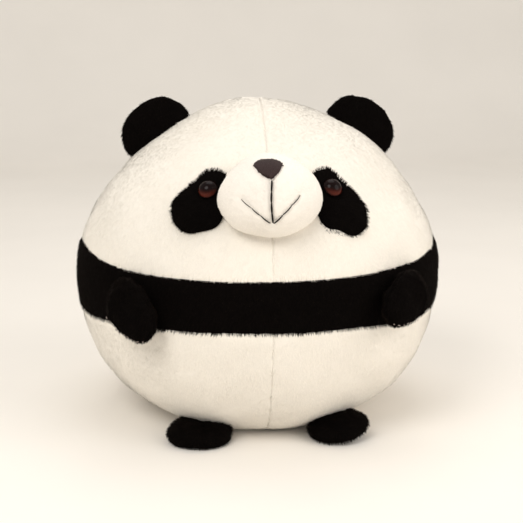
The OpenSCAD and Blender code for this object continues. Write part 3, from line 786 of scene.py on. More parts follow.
class Finishes:
    """Every material of the toy, made once."""

    def __init__(self, colours):
        cream, ink = (1.0, 0.97, 0.90), (0.55, 0.34, 0.24)
        self.white = plush("white_plush_ground", colours.white, 0.93, 0.35, cream)
        self.white_pile = pile_shades("white_pile", colours.white, 0.03, 0.3, cream)
        self.muzzle = plush("muzzle_plush_ground", colours.muzzle, 0.95, 0.35, cream)
        self.muzzle_pile = pile_shades("muzzle_pile", colours.muzzle, 0.04, 0.3, cream)
        self.black = plush("black_plush_ground", colours.black, 0.75, 0.02, ink, 0.03)
        self.black_pile = pile_shades("black_pile", colours.black, 0.3, 0.025, ink, 0.03)
        self.nose = thread("nose_satin_thread", colours.nose, 0.38)
        self.mouth = thread("mouth_thread", colours.mouth, 0.5)
        # Painted highlight: the arms' seam stitches take a light colour that shows the light along each
        # seam's ridge.
        self.arm_thread = thread("arm_seam_thread", colours.arm_seam, 0.6)
        self.sewing = thread("sewing_thread", colours.white, 0.6)
        self.washer = moulded("washer_nylon", colours.washer, 0.42)
        self.stem = moulded("stem_plastic", colours.pupil, 0.3)
        self.filling = fibre_fill("polyester_filling", colours.filling)


_made = {}


def toy():
    """The ball, the settings and the finishes that every piece is made with."""
    if not _made:
        scene = bpy.context.scene
        _made["ball"] = Ball(scene.panda_body)
        _made["finishes"] = Finishes(scene.panda_colours)
    return _made["ball"], _made["finishes"]


# ---- Muzzle's form ----


def muzzle_size(face):
    return np.array([face.muzzle_half_w, face.muzzle_half_d, face.muzzle_half_h])


def muzzle_middle(ball, face):
    middle = ball.front(0.0, ball.body.height - face.muzzle_below_crown)
    return middle + np.array([face.muzzle_aside, -face.muzzle_out, 0])


def narrower_above(up, face):
    """Share of its width that the muzzle has at a height above its middle."""
    return 1 - face.muzzle_taper * up / face.muzzle_half_h


def on_muzzle(ball, face, x, up, out=0.0):
    """Points on the muzzle's front at x and a height above its middle, lifted off it."""
    size = muzzle_size(face)
    x, up = np.broadcast_arrays(np.asarray(x, float), np.asarray(up, float))
    taper = narrower_above(up, face)
    flat = np.stack([x / size[0] / taper, np.zeros(x.shape), up / size[2]], -1)
    flat[..., 1] = -np.sqrt(np.clip(1 - flat[..., 0] ** 2 - flat[..., 2] ** 2, 0, 1))
    spot = flat * size
    spot[..., 0] *= taper
    return muzzle_middle(ball, face) + spot + out * unit(flat / size)


# Both ends of each line of the mouth, beside and above the muzzle's middle, and how far the line bows,
# in millimetres.
MOUTH = {
    "stem": ((-0.9, 13.2), (-0.2, -11.6), 1),
    "right": ((0.2, -12), (16, 4.6), 0),
    "left": ((-1.8, -11.8), (-18.8, 2.4), 0),
}


def mouth_lines(ball, face):
    """The mouth's stem and its two sides, as paths on the muzzle."""
    steps = np.linspace(0, 1, 25)
    lines = {}
    for name, (start, end, bow) in MOUTH.items():
        beside = mix(start[0], end[0], steps) - bow * np.sin(np.pi * steps)
        lines[name] = on_muzzle(ball, face, beside * MM, mix(start[1], end[1], steps) * MM)
    return lines


# ---- Panels of the body ----


# The four gores of the head and of the belly, and the angle at which each starts.
GORES = (("front_right", 0), ("back_right", QUARTER), ("back_left", -HALF_TURN), ("front_left", -QUARTER))


def off_face(ball, face):
    """Test for roots of pile that no patch or muzzle covers."""
    muzzle = muzzle_middle(ball, face)
    size = muzzle_size(face)

    def clear(roots):
        off_muzzle = np.linalg.norm((roots - muzzle) / size, axis=1) > 0.985
        return off_muzzle & (off_patches(ball, face, roots) > -0.6 * MM)

    return clear


def near_band_edges(ball, shortest):
    """Share of its length that a tuft keeps near the band's seams, where the pile is sheared."""

    def trim(roots):
        az = np.arctan2(roots[:, 0], -roots[:, 1])
        climb = ball.climb_at(roots[:, 2])
        gap = np.minimum(np.abs(climb - ball.band_top(az)), np.abs(climb - ball.band_bottom(az)))
        return np.clip(shortest + gap / (5 * MM), shortest, 1)

    return trim


def add_panel(name, az_from, az_to, low, high, point_rows, spread=1.0):
    """One panel of the skin between two climbs, its hidden thickness and its pile."""
    ball, finishes = toy()
    scene = bpy.context.scene
    body, face, pile = scene.panda_body, scene.panda_face, scene.panda_pile
    rows, cols = point_rows
    if cols is None:
        row = np.repeat(np.arange(rows + 1), np.arange(1, rows + 2))
        col = np.concatenate([np.arange(i + 1) for i in range(rows + 1)])
        az = mix(az_from, az_to, col / np.maximum(row, 1))
        climb = mix(ball.top, low(az), row / rows)
        faces = triangle_rows(rows)
    else:
        row, col = (g.ravel() for g in np.meshgrid(np.arange(rows), np.arange(cols), indexing="ij"))
        az = mix(az_from, az_to, col / (cols - 1))
        climb = mix(low(az), high(az), row / (rows - 1))
        faces = grid_faces(rows, cols)
    lat = ball.lat_of(climb)
    smooth_points = ball.point(az, lat)
    offset = skin_offset(ball, face, az, climb, smooth_points)
    normals = ball.normal(az, lat)
    ground = smooth_points + normals * offset[:, None]
    outer = ground + normals * bumps(smooth_points, PILE_CLUMPS)[:, None]
    outer[:, 2] = np.maximum(outer[:, 2], 0.2 * MM)
    inner = smooth_points + normals * (offset - body.fabric)[:, None]
    dark = name.startswith("band")
    finish = finishes.black if dark else finishes.white
    piece = make_piece(f"{name}_plush", *with_back(outer, inner, faces), finish, "body", 0.75)
    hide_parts(name)
    tufts = finishes.black_pile if dark else finishes.white_pile
    seed = 100 + sum(map(ord, name))
    fur = grow(f"{name}_pile", outer, faces, normals, "body", tufts, pile, pile.long_pile, seed,
               spread, off_face(ball, face), trim=near_band_edges(ball, 0.9 if dark else 0.45), upright=dark)


class PANDA_OT_head(bpy.types.Operator):
    """Sew the four white gores of the head"""

    bl_idname = "panda.head"
    bl_label = "Head gores"

    def execute(self, context):
        ball, _ = toy()
        for name, start in GORES:
            add_panel(f"head_{name}", start, start + QUARTER, ball.band_top, None, (150, None))
        return {"FINISHED"}


class PANDA_OT_band(bpy.types.Operator):
    """Sew the black band, a front and a back strip"""

    bl_idname = "panda.band"
    bl_label = "Black band"

    def execute(self, context):
        ball, _ = toy()
        for name, start in (("front", -QUARTER), ("back", QUARTER)):
            end = start + HALF_TURN
            add_panel(f"band_{name}", start, end, ball.band_bottom, ball.band_top, (36, 360), 1.15)
        return {"FINISHED"}


class PANDA_OT_belly(bpy.types.Operator):
    """Sew the four white gores of the belly"""

    bl_idname = "panda.belly"
    bl_label = "Belly gores"

    def execute(self, context):
        ball, _ = toy()
        for name, start in GORES:
            add_panel(f"belly_{name}", start, start + QUARTER, np.zeros_like, ball.band_bottom, (105, 140))
        return {"FINISHED"}


class PANDA_OT_seat(bpy.types.Operator):
    """Close the skin below with the round seat panel"""

    bl_idname = "panda.seat"
    bl_label = "Seat panel"

    def execute(self, context):
        ball, finishes = toy()
        body = context.scene.panda_body
        rings, around = 48, 240
        ring, az = disc(rings, around, 0.02)
        rim = ball.point(az, np.full(len(az), ball.lats[0]))
        flat = rim * ring[:, None]
        flat[:, 2] = 0.25 * MM + 0.2 * MM * dent(1 - ring, 0.03)
        flat[:, 2] += np.maximum(0, bumps(flat, PILE_CLUMPS))
        faces = grid_faces(rings, around, closed=True)[:, ::-1]
        middle = np.arange(around)
        cap = np.stack([np.full(around, len(flat)), middle, (middle + 1) % around], 1)
        points = np.concatenate([flat, [[0, 0, 0.25 * MM]]])
        faces = np.concatenate([faces, cap[:, ::-1]])
        if corner_normals(points, faces)[:, 2].mean() > 0:
            faces = faces[:, ::-1]
        inner = points * [0.985, 0.985, 1] + [0, 0, body.fabric]
        piece = make_piece("seat_panel_plush", *with_back(points, inner, faces), finishes.white, "body", 0.6)
        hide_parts("seat_panel")
        return {"FINISHED"}


# ---- Filling ----


class PANDA_OT_filling(bpy.types.Operator):
    """Stuff the body and the muzzle with polyester filling"""

    bl_idname = "panda.filling"
    bl_label = "Filling"

    def execute(self, context):
        _, finishes = toy()
        self.stuff("body_stuffing", 9 * MM, 1.9 * MM, finishes.filling)
        self.stuff("muzzle_stuffing", 3 * MM, 1.3 * MM, finishes.filling)
        return {"FINISHED"}

    def stuff(self, node_name, longest, slack, finish):
        """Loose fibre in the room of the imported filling, a little slack inside it."""
        form = bmesh.new()
        form.from_mesh(frame["nodes"][node_name].data)
        bmesh.ops.remove_doubles(form, verts=form.verts, dist=0.02 * MM)
        bmesh.ops.triangulate(form, faces=form.faces)
        for _ in range(2):
            long_edges = [e for e in form.edges if e.calc_length() > longest]
            bmesh.ops.subdivide_edges(form, edges=long_edges, cuts=1, use_grid_fill=True)
            bmesh.ops.triangulate(form, faces=form.faces)
        bmesh.ops.recalc_face_normals(form, faces=form.faces)
        form.verts.index_update()
        points = np.array([v.co for v in form.verts])
        normals = np.array([v.normal for v in form.verts])
        faces = np.array([[v.index for v in f.verts] for f in form.faces])
        form.free()
        inset = slack + 0.3 * MM * np.clip(ripple(points, longest * 2.5, 41), -1, 1)
        piece = make_piece(node_name.replace("stuffing", "filling"), points - normals * inset[:, None], faces,
                           finish, "body", 0.8)
        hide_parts(node_name)


# ---- Muzzle, nose and mouth ----


class PANDA_OT_muzzle(bpy.types.Operator):
    """Sew on the stuffed muzzle in its shorter pile"""

    bl_idname = "panda.muzzle"
    bl_label = "Muzzle"

    def execute(self, context):
        ball, finishes = toy()
        face, pile = context.scene.panda_face, context.scene.panda_pile
        middle, size = muzzle_middle(ball, face), muzzle_size(face)
        points, faces = ball_mesh(6)
        points = points * size
        normals = unit(points / size**2)
        points[:, 0] *= narrower_above(points[:, 2], face)
        points = points + middle
        inside = ball.depth_inside(points)
        faces = faces[(inside[faces] < 3.5 * MM).any(axis=1)]
        used, faces = np.unique(faces, return_inverse=True)
        faces = faces.reshape(-1, 3)
        points, normals, inside = points[used], normals[used], inside[used]
        offset = 0.35 * MM * ripple(points, 24 * MM, 51)
        lines = mouth_lines(ball, face)
        for name, depth in (("stem", 1.0), ("right", 0.9), ("left", 0.8)):
            line = to_polyline(points, lines[name])
            offset -= depth * MM * dent(line, 1.1 * MM) + 0.5 * depth * MM * dent(line, 4 * MM)
        offset -= 0.8 * MM * dent(inside, 3 * MM)
        ground = points + normals * offset[:, None]
        outer = ground + normals * bumps(points, MUZZLE_CLUMPS)[:, None]
        shell = with_back(outer, ground - normals * 2.2 * MM, faces)
        piece = make_piece("muzzle_cover_plush", *shell, finishes.muzzle, "body", 0.85)
        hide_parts("muzzle_cover")

        def clear(roots):
            near = np.min([to_polyline(roots, line) for line in lines.values()], axis=0)
            local = roots - middle
            on_nose = np.hypot(local[:, 0] - face.nose_aside, 1.6 * (local[:, 2] - 20 * MM)) < 7.5 * MM
            return (near > 0.8 * MM) & ~(on_nose & (local[:, 1] < 0)) & (ball.depth_inside(roots) < 0.5 * MM)

        def outwards(roots):
            away = roots - middle
            away[:, 1] = 0
            return unit(away) * 0.7 + [0, 0.5, -0.3]

        fur = grow("muzzle_cover_pile", outer, faces, normals, "body", finishes.muzzle_pile, pile,
                   pile.short_pile, 61, 2.0, clear, outwards)
        return {"FINISHED"}


class PANDA_OT_nose(bpy.types.Operator):
    """Embroider the nose in satin stitch over a pad"""

    bl_idname = "panda.nose"
    bl_label = "Nose"

    def execute(self, context):
        ball, finishes = toy()
        face = context.scene.panda_face
        rng = np.random.default_rng(71)
        pitch = 0.42 * MM
        half, tip = face.nose_width / 2, 1 * MM
        parts = [self.pad(ball, face)]
        for x in np.arange(-half + 0.5 * pitch, half, pitch):
            away = abs(x - tip) / (half + math.copysign(tip, tip - x))
            shoulder = 3.6 * MM * (1 - math.sqrt(1 - abs(x / half) ** 2.4))
            top = face.nose_high + 0.5 * MM * min(x / half, 0) - shoulder + 0.12 * MM * rng.normal()
            climb = (3.6 if x < tip else 4.5) * MM * away + 1.4 * MM * away**10
            low = face.nose_low + climb + 0.28 * MM * rng.normal()
            steps = np.linspace(0, 1, 15)
            dome = np.sqrt(np.clip(1 - (2 * steps - 1) ** 4, 0, 1))
            dome = dome * math.sqrt(max(0.05, 1 - abs(x / half) ** 3))
            across = face.nose_aside + mix(x, tip + 0.8 * (x - tip), steps)
            path = on_muzzle(ball, face, across, mix(top, low, steps))
            lift = unit(path - muzzle_middle(ball, face))
            path = path + lift * (0.1 * MM + 1.1 * MM * dome)[:, None]
            parts.append(tube(path, 0.32 * MM * rng.uniform(0.9, 1.12), 7, 0.5))
        piece = make_piece("nose_satin_stitch", *joined(parts), finishes.nose, "body")
        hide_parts("nose_embroidery")
        return {"FINISHED"}

    def pad(self, ball, face):
        """The padding under the stitches, a low rounded triangle."""
        rings, around = 7, 40
        reach, turn = disc(rings, around, 0.05)
        x = face.nose_width / 2 * 0.92 * np.cos(turn) * reach * (1 - 0.2 * (1 - np.sin(turn)))
        centre = mix(face.nose_low, face.nose_high, 0.6)
        tall = np.where(np.sin(turn) > 0, face.nose_high - centre, centre - face.nose_low)
        up = centre + (tall - 0.6 * MM) * np.sin(turn) * reach
        over = 0.9 * MM * np.sqrt(np.clip(1 - reach**3, 0, 1))[:, None] - 0.2 * MM
        top = on_muzzle(ball, face, face.nose_aside + x, up, over)
        low = on_muzzle(ball, face, face.nose_aside + x, up, -0.8 * MM)
        return with_back(top, low, grid_faces(rings, around, closed=True))


class PANDA_OT_mouth(bpy.types.Operator):
    """Sew the mouth in long stitches"""

    bl_idname = "panda.mouth"
    bl_label = "Mouth"

    def execute(self, context):
        ball, finishes = toy()
        face = context.scene.panda_face
        middle = muzzle_middle(ball, face)
        stitches = {"stem": (4, 0.62), "right": (3, 0.5), "left": (3, 0.42)}
        parts = []
        for name, line in mouth_lines(ball, face).items():
            count, radius = stitches[name]
            out = unit(line - middle)
            place = np.linspace(0, 1, len(line))
            for i in range(count):
                steps = np.linspace(i / count, (i + 0.97) / count, 15)
                path = np.stack([np.interp(steps, place, line[:, k]) for k in range(3)], 1)
                lift = np.stack([np.interp(steps, place, out[:, k]) for k in range(3)], 1)
                arch = np.sin(np.linspace(0, np.pi, 15)) ** 0.5
                thin = (0.6 + 0.4 * arch) * (1 - 0.45 * steps if name != "stem" else 1)
                sunk = 1.5 * MM if name == "left" and i == 1 else 0.9 * MM
                path = path + lift * (0.5 * MM - sunk * (1 - arch))[:, None]
                parts.append(tube(path, radius * MM * thin, 8, 0.5))
        piece = make_piece("mouth_stitches", *joined(parts), finishes.mouth, "body")
        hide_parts("mouth_embroidery")
        return {"FINISHED"}


# ---- Eyes ----


def eye_place(ball, face, side):
    """Centre of the eye's back and the way it looks."""
    az, lat = ball.facing(face.eye_x, eye_height(ball, face))
    centre = ball.point(az, lat, face.patch + 0.3 * MM)
    out = ball.normal(az, lat)
    aside = face.left_eye_in if side < 0 else 0
    return (centre - [aside, 0, 0]) * [side, 1, 1], out * [side, 1, 1]


# The teardrop of a patch is drawn round three circles, each its place across and above the eye and its
# radius, in millimetres. PATCH_DROP sets the right one's lower circles lower and the left one's higher,
# and PATCH_LEAN sets the upper and outer circles a little towards +X on both sides.
PATCH_CIRCLES = ((-4.2, 2.2, 9.5), (12, -14.3, 10.6), (2.5, -11.1, 11.6))
PATCH_DROP = 1.7
PATCH_LEAN = 0.5


def off_strip(flat, first, second):
    """Distance outside the strip between two circles, each its place and radius."""
    (x0, z0, r0), (x1, z1, r1) = first, second
    between = np.array([x1 - x0, z1 - z0])
    gap = np.linalg.norm(between)
    way = between / gap
    local = flat - [x0, z0]
    along = local @ way
    aside = np.abs(local @ [way[1], -way[0]])
    taper = (r0 - r1) / gap
    level = math.sqrt(1 - taper**2)
    slant = level * along - taper * aside
    at_start = np.linalg.norm(local, axis=1) - r0
    at_end = np.linalg.norm(local - between, axis=1) - r1
    beside = level * aside + taper * along - r0
    return np.where(slant < 0, at_start, np.where(slant > level * gap, at_end, beside))


def off_patch(flat, side):
    """Distance outside the teardrop of the patch, for places across and above the eye."""
    upper, outer, inner = (np.array(circle) * MM for circle in PATCH_CIRCLES)
    lean, drop = side * PATCH_LEAN * MM, side * PATCH_DROP * MM
    upper, outer, inner = upper + [lean, 0, 0], outer + [lean, -drop, 0], inner - [0, drop, 0]
    strips = [off_strip(flat, upper, outer), off_strip(flat, upper, inner), off_strip(flat, outer, inner)]
    return np.min(strips, axis=0)


def off_patches(ball, face, points):
    """Distance of each point outside the nearer patch, as seen from the front."""
    eye_z = eye_height(ball, face)
    flat = np.stack([np.abs(points[:, 0]) - face.eye_x, points[:, 2] - eye_z], 1)
    nearest = np.where(points[:, 0] < 0, off_patch(flat, -1), off_patch(flat, 1))
    return np.where(points[:, 1] < 0, nearest, 1.0)


class PANDA_OT_patches(bpy.types.Operator):
    """Sew the two black eye patches on the head"""

    bl_idname = "panda.patches"
    bl_label = "Eye patches"

    def execute(self, context):
        ball, finishes = toy()
        face, pile = context.scene.panda_face, context.scene.panda_pile
        eye_z = eye_height(ball, face)
        middle = np.array([3.5 * MM, -6 * MM])
        rings, around = 40, 180
        reach, turn = disc(rings, around, 0.02)
        muzzle, size = muzzle_middle(ball, face), muzzle_size(face)
        for name, side in SIDES.items():
            edge = self.edge(middle, np.stack([np.cos(turn), np.sin(turn)], 1), side)
            flat = middle + (edge - middle) * reach[:, None]
            x, z = face.eye_x + flat[:, 0], eye_z + flat[:, 1]
            az, lat = ball.facing(x, z)
            base, normals = ball.point(az, lat), ball.normal(az, lat)
            dome = face.patch * np.clip(1 - reach**7, 0, 1) ** 0.6
            spot = base + normals * dome[:, None]
            sink = 1.3 * MM * dent(np.linalg.norm(flat, axis=1), 8 * MM)
            offset = 0.3 * MM * ripple(base, 13 * MM, 81) - sink + bumps(base, PILE_CLUMPS)
            top = (spot + normals * offset[:, None]) * [side, 1, 1]
            low = (base - normals * 1.4 * MM) * [side, 1, 1]
            normals = normals * [side, 1, 1]
            faces = grid_faces(rings, around, closed=True)
            if (corner_normals(top, faces) * normals).sum() < 0:
                faces = faces[:, ::-1]
            keep = (np.linalg.norm((top - muzzle) / size, axis=1) > 0.93)[faces].any(axis=1)
            faces = faces[keep]
            shell = with_back(top, low, faces)
            piece = make_piece(f"eye_patch_{name}_plush", *shell, finishes.black, "body", 0.3)
            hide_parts(f"eye_patch_{name}")
            centre, _ = eye_place(ball, face, side)
            hub = ball.front(side * (face.eye_x + middle[0]), eye_z + middle[1])

            def clear(roots, centre=centre):
                off_eye = np.linalg.norm(roots - centre, axis=1) > 5.6 * MM
                return off_eye & (np.linalg.norm((roots - muzzle) / size, axis=1) > 0.97)

            def outwards(roots, hub=hub):
                return unit(roots - hub) * 0.9 + [0, 0, -0.35]

            fur = grow(f"eye_patch_{name}_pile", top, faces, normals, "body", finishes.black_pile, pile,
                       0.8 * pile.long_pile, 83 + side, 1.5, clear, outwards, upright=True)
        return {"FINISHED"}

    def edge(self, middle, ways, side):
        """Where each way from the middle leaves the teardrop."""
        low, high = np.zeros(len(ways)), np.full(len(ways), 40 * MM)
        for _ in range(30):
            reach = (low + high) / 2
            outside = off_patch(middle + ways * reach[:, None], side) > 0
            low, high = np.where(outside, low, reach), np.where(outside, reach, high)
        return middle + ways * low[:, None]


class PANDA_OT_eyes(bpy.types.Operator):
    """Set the two safety eyes: dome, stem and locking washer"""

    bl_idname = "panda.eyes"
    bl_label = "Safety eyes"

    def execute(self, context):
        ball, finishes = toy()
        face, colours = context.scene.panda_face, context.scene.panda_colours
        for name, side in SIDES.items():
            centre, out = eye_place(ball, face, side)
            finish = eye_plastic(f"eye_plastic_{name}", colours.amber, colours.pupil, centre, out,
                                 face.eye_width / 2, face.pupil_width / 2)
            self.dome(face, name, centre, out, finish)
            for node, surface in (("stem", finishes.stem), ("washer", finishes.washer)):
                shown = frame["nodes"][f"eye_{node}_{name}"]
                shown.data.materials.clear()
                shown.data.materials.append(surface)
        return {"FINISHED"}

    def dome(self, face, name, centre, out, finish):
        """The domed lens with its rounded rim, turned from one outline."""
        radius, height, rim = face.eye_width / 2, face.eye_dome, 0.8 * MM
        sphere = (radius**2 + (height - rim) ** 2) / (2 * (height - rim))
        half = math.asin(radius / sphere)
        turns = np.linspace(0.01, 1, 26) * half
        rim_bulge = radius + 0.12 * MM * np.sin(np.linspace(0.4, 3.0, 7))
        rim_up = np.linspace(rim - 0.05 * MM, 0.05 * MM, 7)
        back_reach = np.linspace(0.96, 0.04, 6) * radius
        reach = np.concatenate([sphere * np.sin(turns), rim_bulge, back_reach])
        up = np.concatenate([height - sphere + sphere * np.cos(turns), rim_up, np.zeros(6)])
        around = 72
        turn = turns_of(around)
        x_way = unit(np.cross([0.0, 0.0, 1.0], out))
        z_way = np.cross(out, x_way)
        ring = np.cos(turn)[:, None] * x_way + np.sin(turn)[:, None] * z_way
        points = centre + reach[:, None, None] * ring + up[:, None, None] * out
        count = len(reach)
        points = np.concatenate([points.reshape(-1, 3), [centre + height * out], [centre]])
        j = np.arange(around)
        top = np.stack([np.full(around, count * around), j, (j + 1) % around], 1)
        start = (count - 1) * around
        back = np.stack([np.full(around, count * around + 1), start + (j + 1) % around, start + j], 1)
        walls = grid_faces(count, around, closed=True)[:, ::-1]
        faces = np.concatenate([walls, top, back])
        corners = points[faces]
        facing = unit(np.cross(corners[:, 1] - corners[:, 0], corners[:, 2] - corners[:, 0]))
        if ((corners.mean(axis=1) - centre) * facing).sum() < 0:
            faces = faces[:, ::-1]
        piece = make_piece(f"eye_dome_{name}", points, faces, finish, "body")
        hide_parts(f"eye_lens_{name}")


# ---- Limbs ----


# Half height of the strip along a limb's edge, on a round of unit size, that its seam holds.
SEAM_REACH = 0.02
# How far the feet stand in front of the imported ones, and beside them, positive outwards.
FOOT_FORWARD = 2 * MM
FOOT_ASIDE = {"left": -0.6 * MM, "right": 1.2 * MM}
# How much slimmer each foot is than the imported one, on each side.
FOOT_SLIMMER = {"left": 0, "right": 1.3 * MM}
# Roundness of a foot's outline, the power of its top's curve, and its crease: place and depth.
FOOT_OUTLINE = {"left": 2.7, "right": 2.2}
FOOT_TOP = {"left": 0.6, "right": 0.75}
FOOT_CREASE = {"left": (-3 * MM, 1.7 * MM), "right": (6 * MM, 0.6 * MM)}


def cushion():
    """Points and faces of a unit round, with each point's reach and way from its axis."""
    points, faces = ball_mesh(4)
    reach = np.hypot(points[:, 0], points[:, 1])
    return points, faces, reach, points[:, :2] / np.maximum(reach, 1e-9)[:, None]


def inflate(points, faces, held, pressure, most):
    """Blows a sewn cover up as its filling does, by cloth simulation, with the held points fixed."""
    scene = bpy.context.scene
    piece = make_piece("cover_in_work", points, faces, toy()[1].black, None)
    group = piece.vertex_groups.new(name="sewn_down")
    group.add(np.flatnonzero(held).tolist(), 1.0, "ADD")
    cloth = piece.modifiers.new("stuffing", "CLOTH")
    cloth.settings.quality = 6
    cloth.settings.mass = 0.2
    cloth.settings.tension_stiffness = 12
    cloth.settings.compression_stiffness = 8
    cloth.settings.shear_stiffness = 4
    cloth.settings.bending_stiffness = 0.2
    cloth.settings.use_pressure = True
    cloth.settings.uniform_pressure_force = pressure
    cloth.settings.effector_weights.gravity = 0
    cloth.settings.vertex_group_mass = "sewn_down"
    cloth.settings.shrink_min = -0.06
    cloth.collision_settings.use_collision = False
    scene.frame_start, scene.frame_end = 1, 20
    for step in range(1, 21):
        scene.frame_set(step)
    blown = piece.evaluated_get(bpy.context.evaluated_depsgraph_get()).data
    after = np.empty(len(points) * 3)
    blown.vertices.foreach_get("co", after)
    scene.frame_set(1)
    bpy.data.objects.remove(piece)
    move = after.reshape(-1, 3) - points
    reach = np.linalg.norm(move, axis=1, keepdims=True)
    return points + move * np.minimum(1, most / np.maximum(reach, 1e-9))


def finer(points, faces):
    """The same cover with every face in four, rounded."""
    piece = make_piece("cover_in_work", points, faces, toy()[1].black, None)
    piece.modifiers.new("finer", "SUBSURF").levels = 1
    form = bmesh.new()
    form.from_mesh(piece.evaluated_get(bpy.context.evaluated_depsgraph_get()).data)
    bmesh.ops.triangulate(form, faces=form.faces)
    form.verts.index_update()
    new_points = np.array([v.co for v in form.verts])
    new_faces = np.array([[v.index for v in f.verts] for f in form.faces])
    form.free()
    bpy.data.objects.remove(piece)
    return new_points, new_faces


def dress_limb(name, nodes, local, faces, place, finishes, pile, seam, seed,
               extra=0.0, keep=None):
    """Puts a limb's cover in place, with its seam, its filling and its pile."""
    normals = corner_normals(local, faces)
    offset = extra - seam + 0.3 * MM * ripple(local, 14 * MM, seed) + 0.9 * bumps(local, PILE_CLUMPS)
    shaped = local + normals * (offset if np.ndim(offset) == 0 else offset[:, None])
    turn = np.array(place.to_3x3())
    world = shaped @ turn.T + np.array(place.translation)
    ways = normals @ turn.T
    if np.linalg.det(turn) < 0:
        faces = faces[:, ::-1]
    world[:, 2] = np.maximum(world[:, 2], 0.25 * MM)
    middle = world.mean(axis=0)
    lining = middle + (world - middle) * 0.8
    piece = make_piece(f"{name}_plush", *with_back(world, lining, faces), finishes.black, None)
    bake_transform(piece)
    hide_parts(*nodes)
    lumps = 0.7 + 0.015 * ripple(world, 9 * MM, seed + 2)
    filling = make_piece(f"{name}_filling", middle + (world - middle) * lumps[:, None], faces,
                         finishes.filling, None)
    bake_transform(filling)
    limb, side_name = name.split("_")
    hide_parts(f"{limb}_stuffing_{side_name}")
    floor_ok = (lambda roots: roots[:, 2] > 2.2 * MM) if keep is None else keep
    fur = grow(f"{name}_pile", world, faces, ways, None, finishes.black_pile, pile, 0.85 * pile.long_pile,
               seed + 1, 1.25, floor_ok, upright=True)
    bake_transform(fur)


def frame_of(x_way, y_way, z_way, at, side):
    """A placing matrix from three ways and a point, mirrored for the left side."""
    place = Matrix((
        (x_way[0], y_way[0], z_way[0], at[0]),
        (x_way[1], y_way[1], z_way[1], at[1]),
        (x_way[2], y_way[2], z_way[2], at[2]),
        (0, 0, 0, 1),
    ))
    return Matrix.Diagonal((side, 1, 1, 1)) @ place


class PANDA_OT_ears(bpy.types.Operator):
    """Sew the two ears into the side seams of the head"""

    bl_idname = "panda.ears"
    bl_label = "Ears"

    def execute(self, context):
        ball, finishes = toy()
        limbs, pile = context.scene.panda_limbs, context.scene.panda_pile
        points, faces, reach, way = cushion()
        root_depth = 9 * MM
        upper = points[:, 1] > 0
        spread = reach ** (2 / 2.3)
        local = np.empty_like(points)
        local[:, 0] = limbs.ear_half_w * way[:, 0] * spread
        square = np.sign(way[:, 0]) * np.abs(way[:, 0]) ** 0.55
        local[:, 0] = np.where(upper, local[:, 0], limbs.ear_half_w * square * spread)
        local[:, 1] = np.where(upper, limbs.ear_height, root_depth) * way[:, 1] * spread
        local[:, 2] = limbs.ear_half_t * 0.92 * np.sign(points[:, 2]) * np.abs(points[:, 2]) ** 0.85
        held = local[:, 1] < -3 * MM
        held |= np.abs(points[:, 2]) < SEAM_REACH
        local = inflate(local, faces, held, 3.0, 1.6 * MM)
        local, faces = finer(local, faces)
        away = np.abs(local[:, 2])
        seam = 0.7 * MM * dent(away, 1.0 * MM) * (local[:, 1] > -2 * MM)
        for name, side in SIDES.items():
            at = np.array(joint_at[f"ear_{name}_fold"]) * [side, 1, 1]
            lat = ball.lat_at(ball.body.height - limbs.ear_below_crown)
            out = ball.normal(QUARTER, lat)
            down = np.cross(out, [0.0, -1.0, 0.0]) * -1
            down = down if down[2] < 0 else -down
            sewn_at = at - out * limbs.ear_sunk + down * limbs.ear_lower
            place = frame_of(down, out, [0.0, -1.0, 0.0], sewn_at, side)
            nodes = [f"ear_front_{name}", f"ear_back_{name}"]
            dress_limb(f"ear_{name}", nodes, local, faces, place, finishes, pile, seam,
                       201 + side, keep=lambda roots: ball.depth_inside(roots) < 1 * MM)
        return {"FINISHED"}


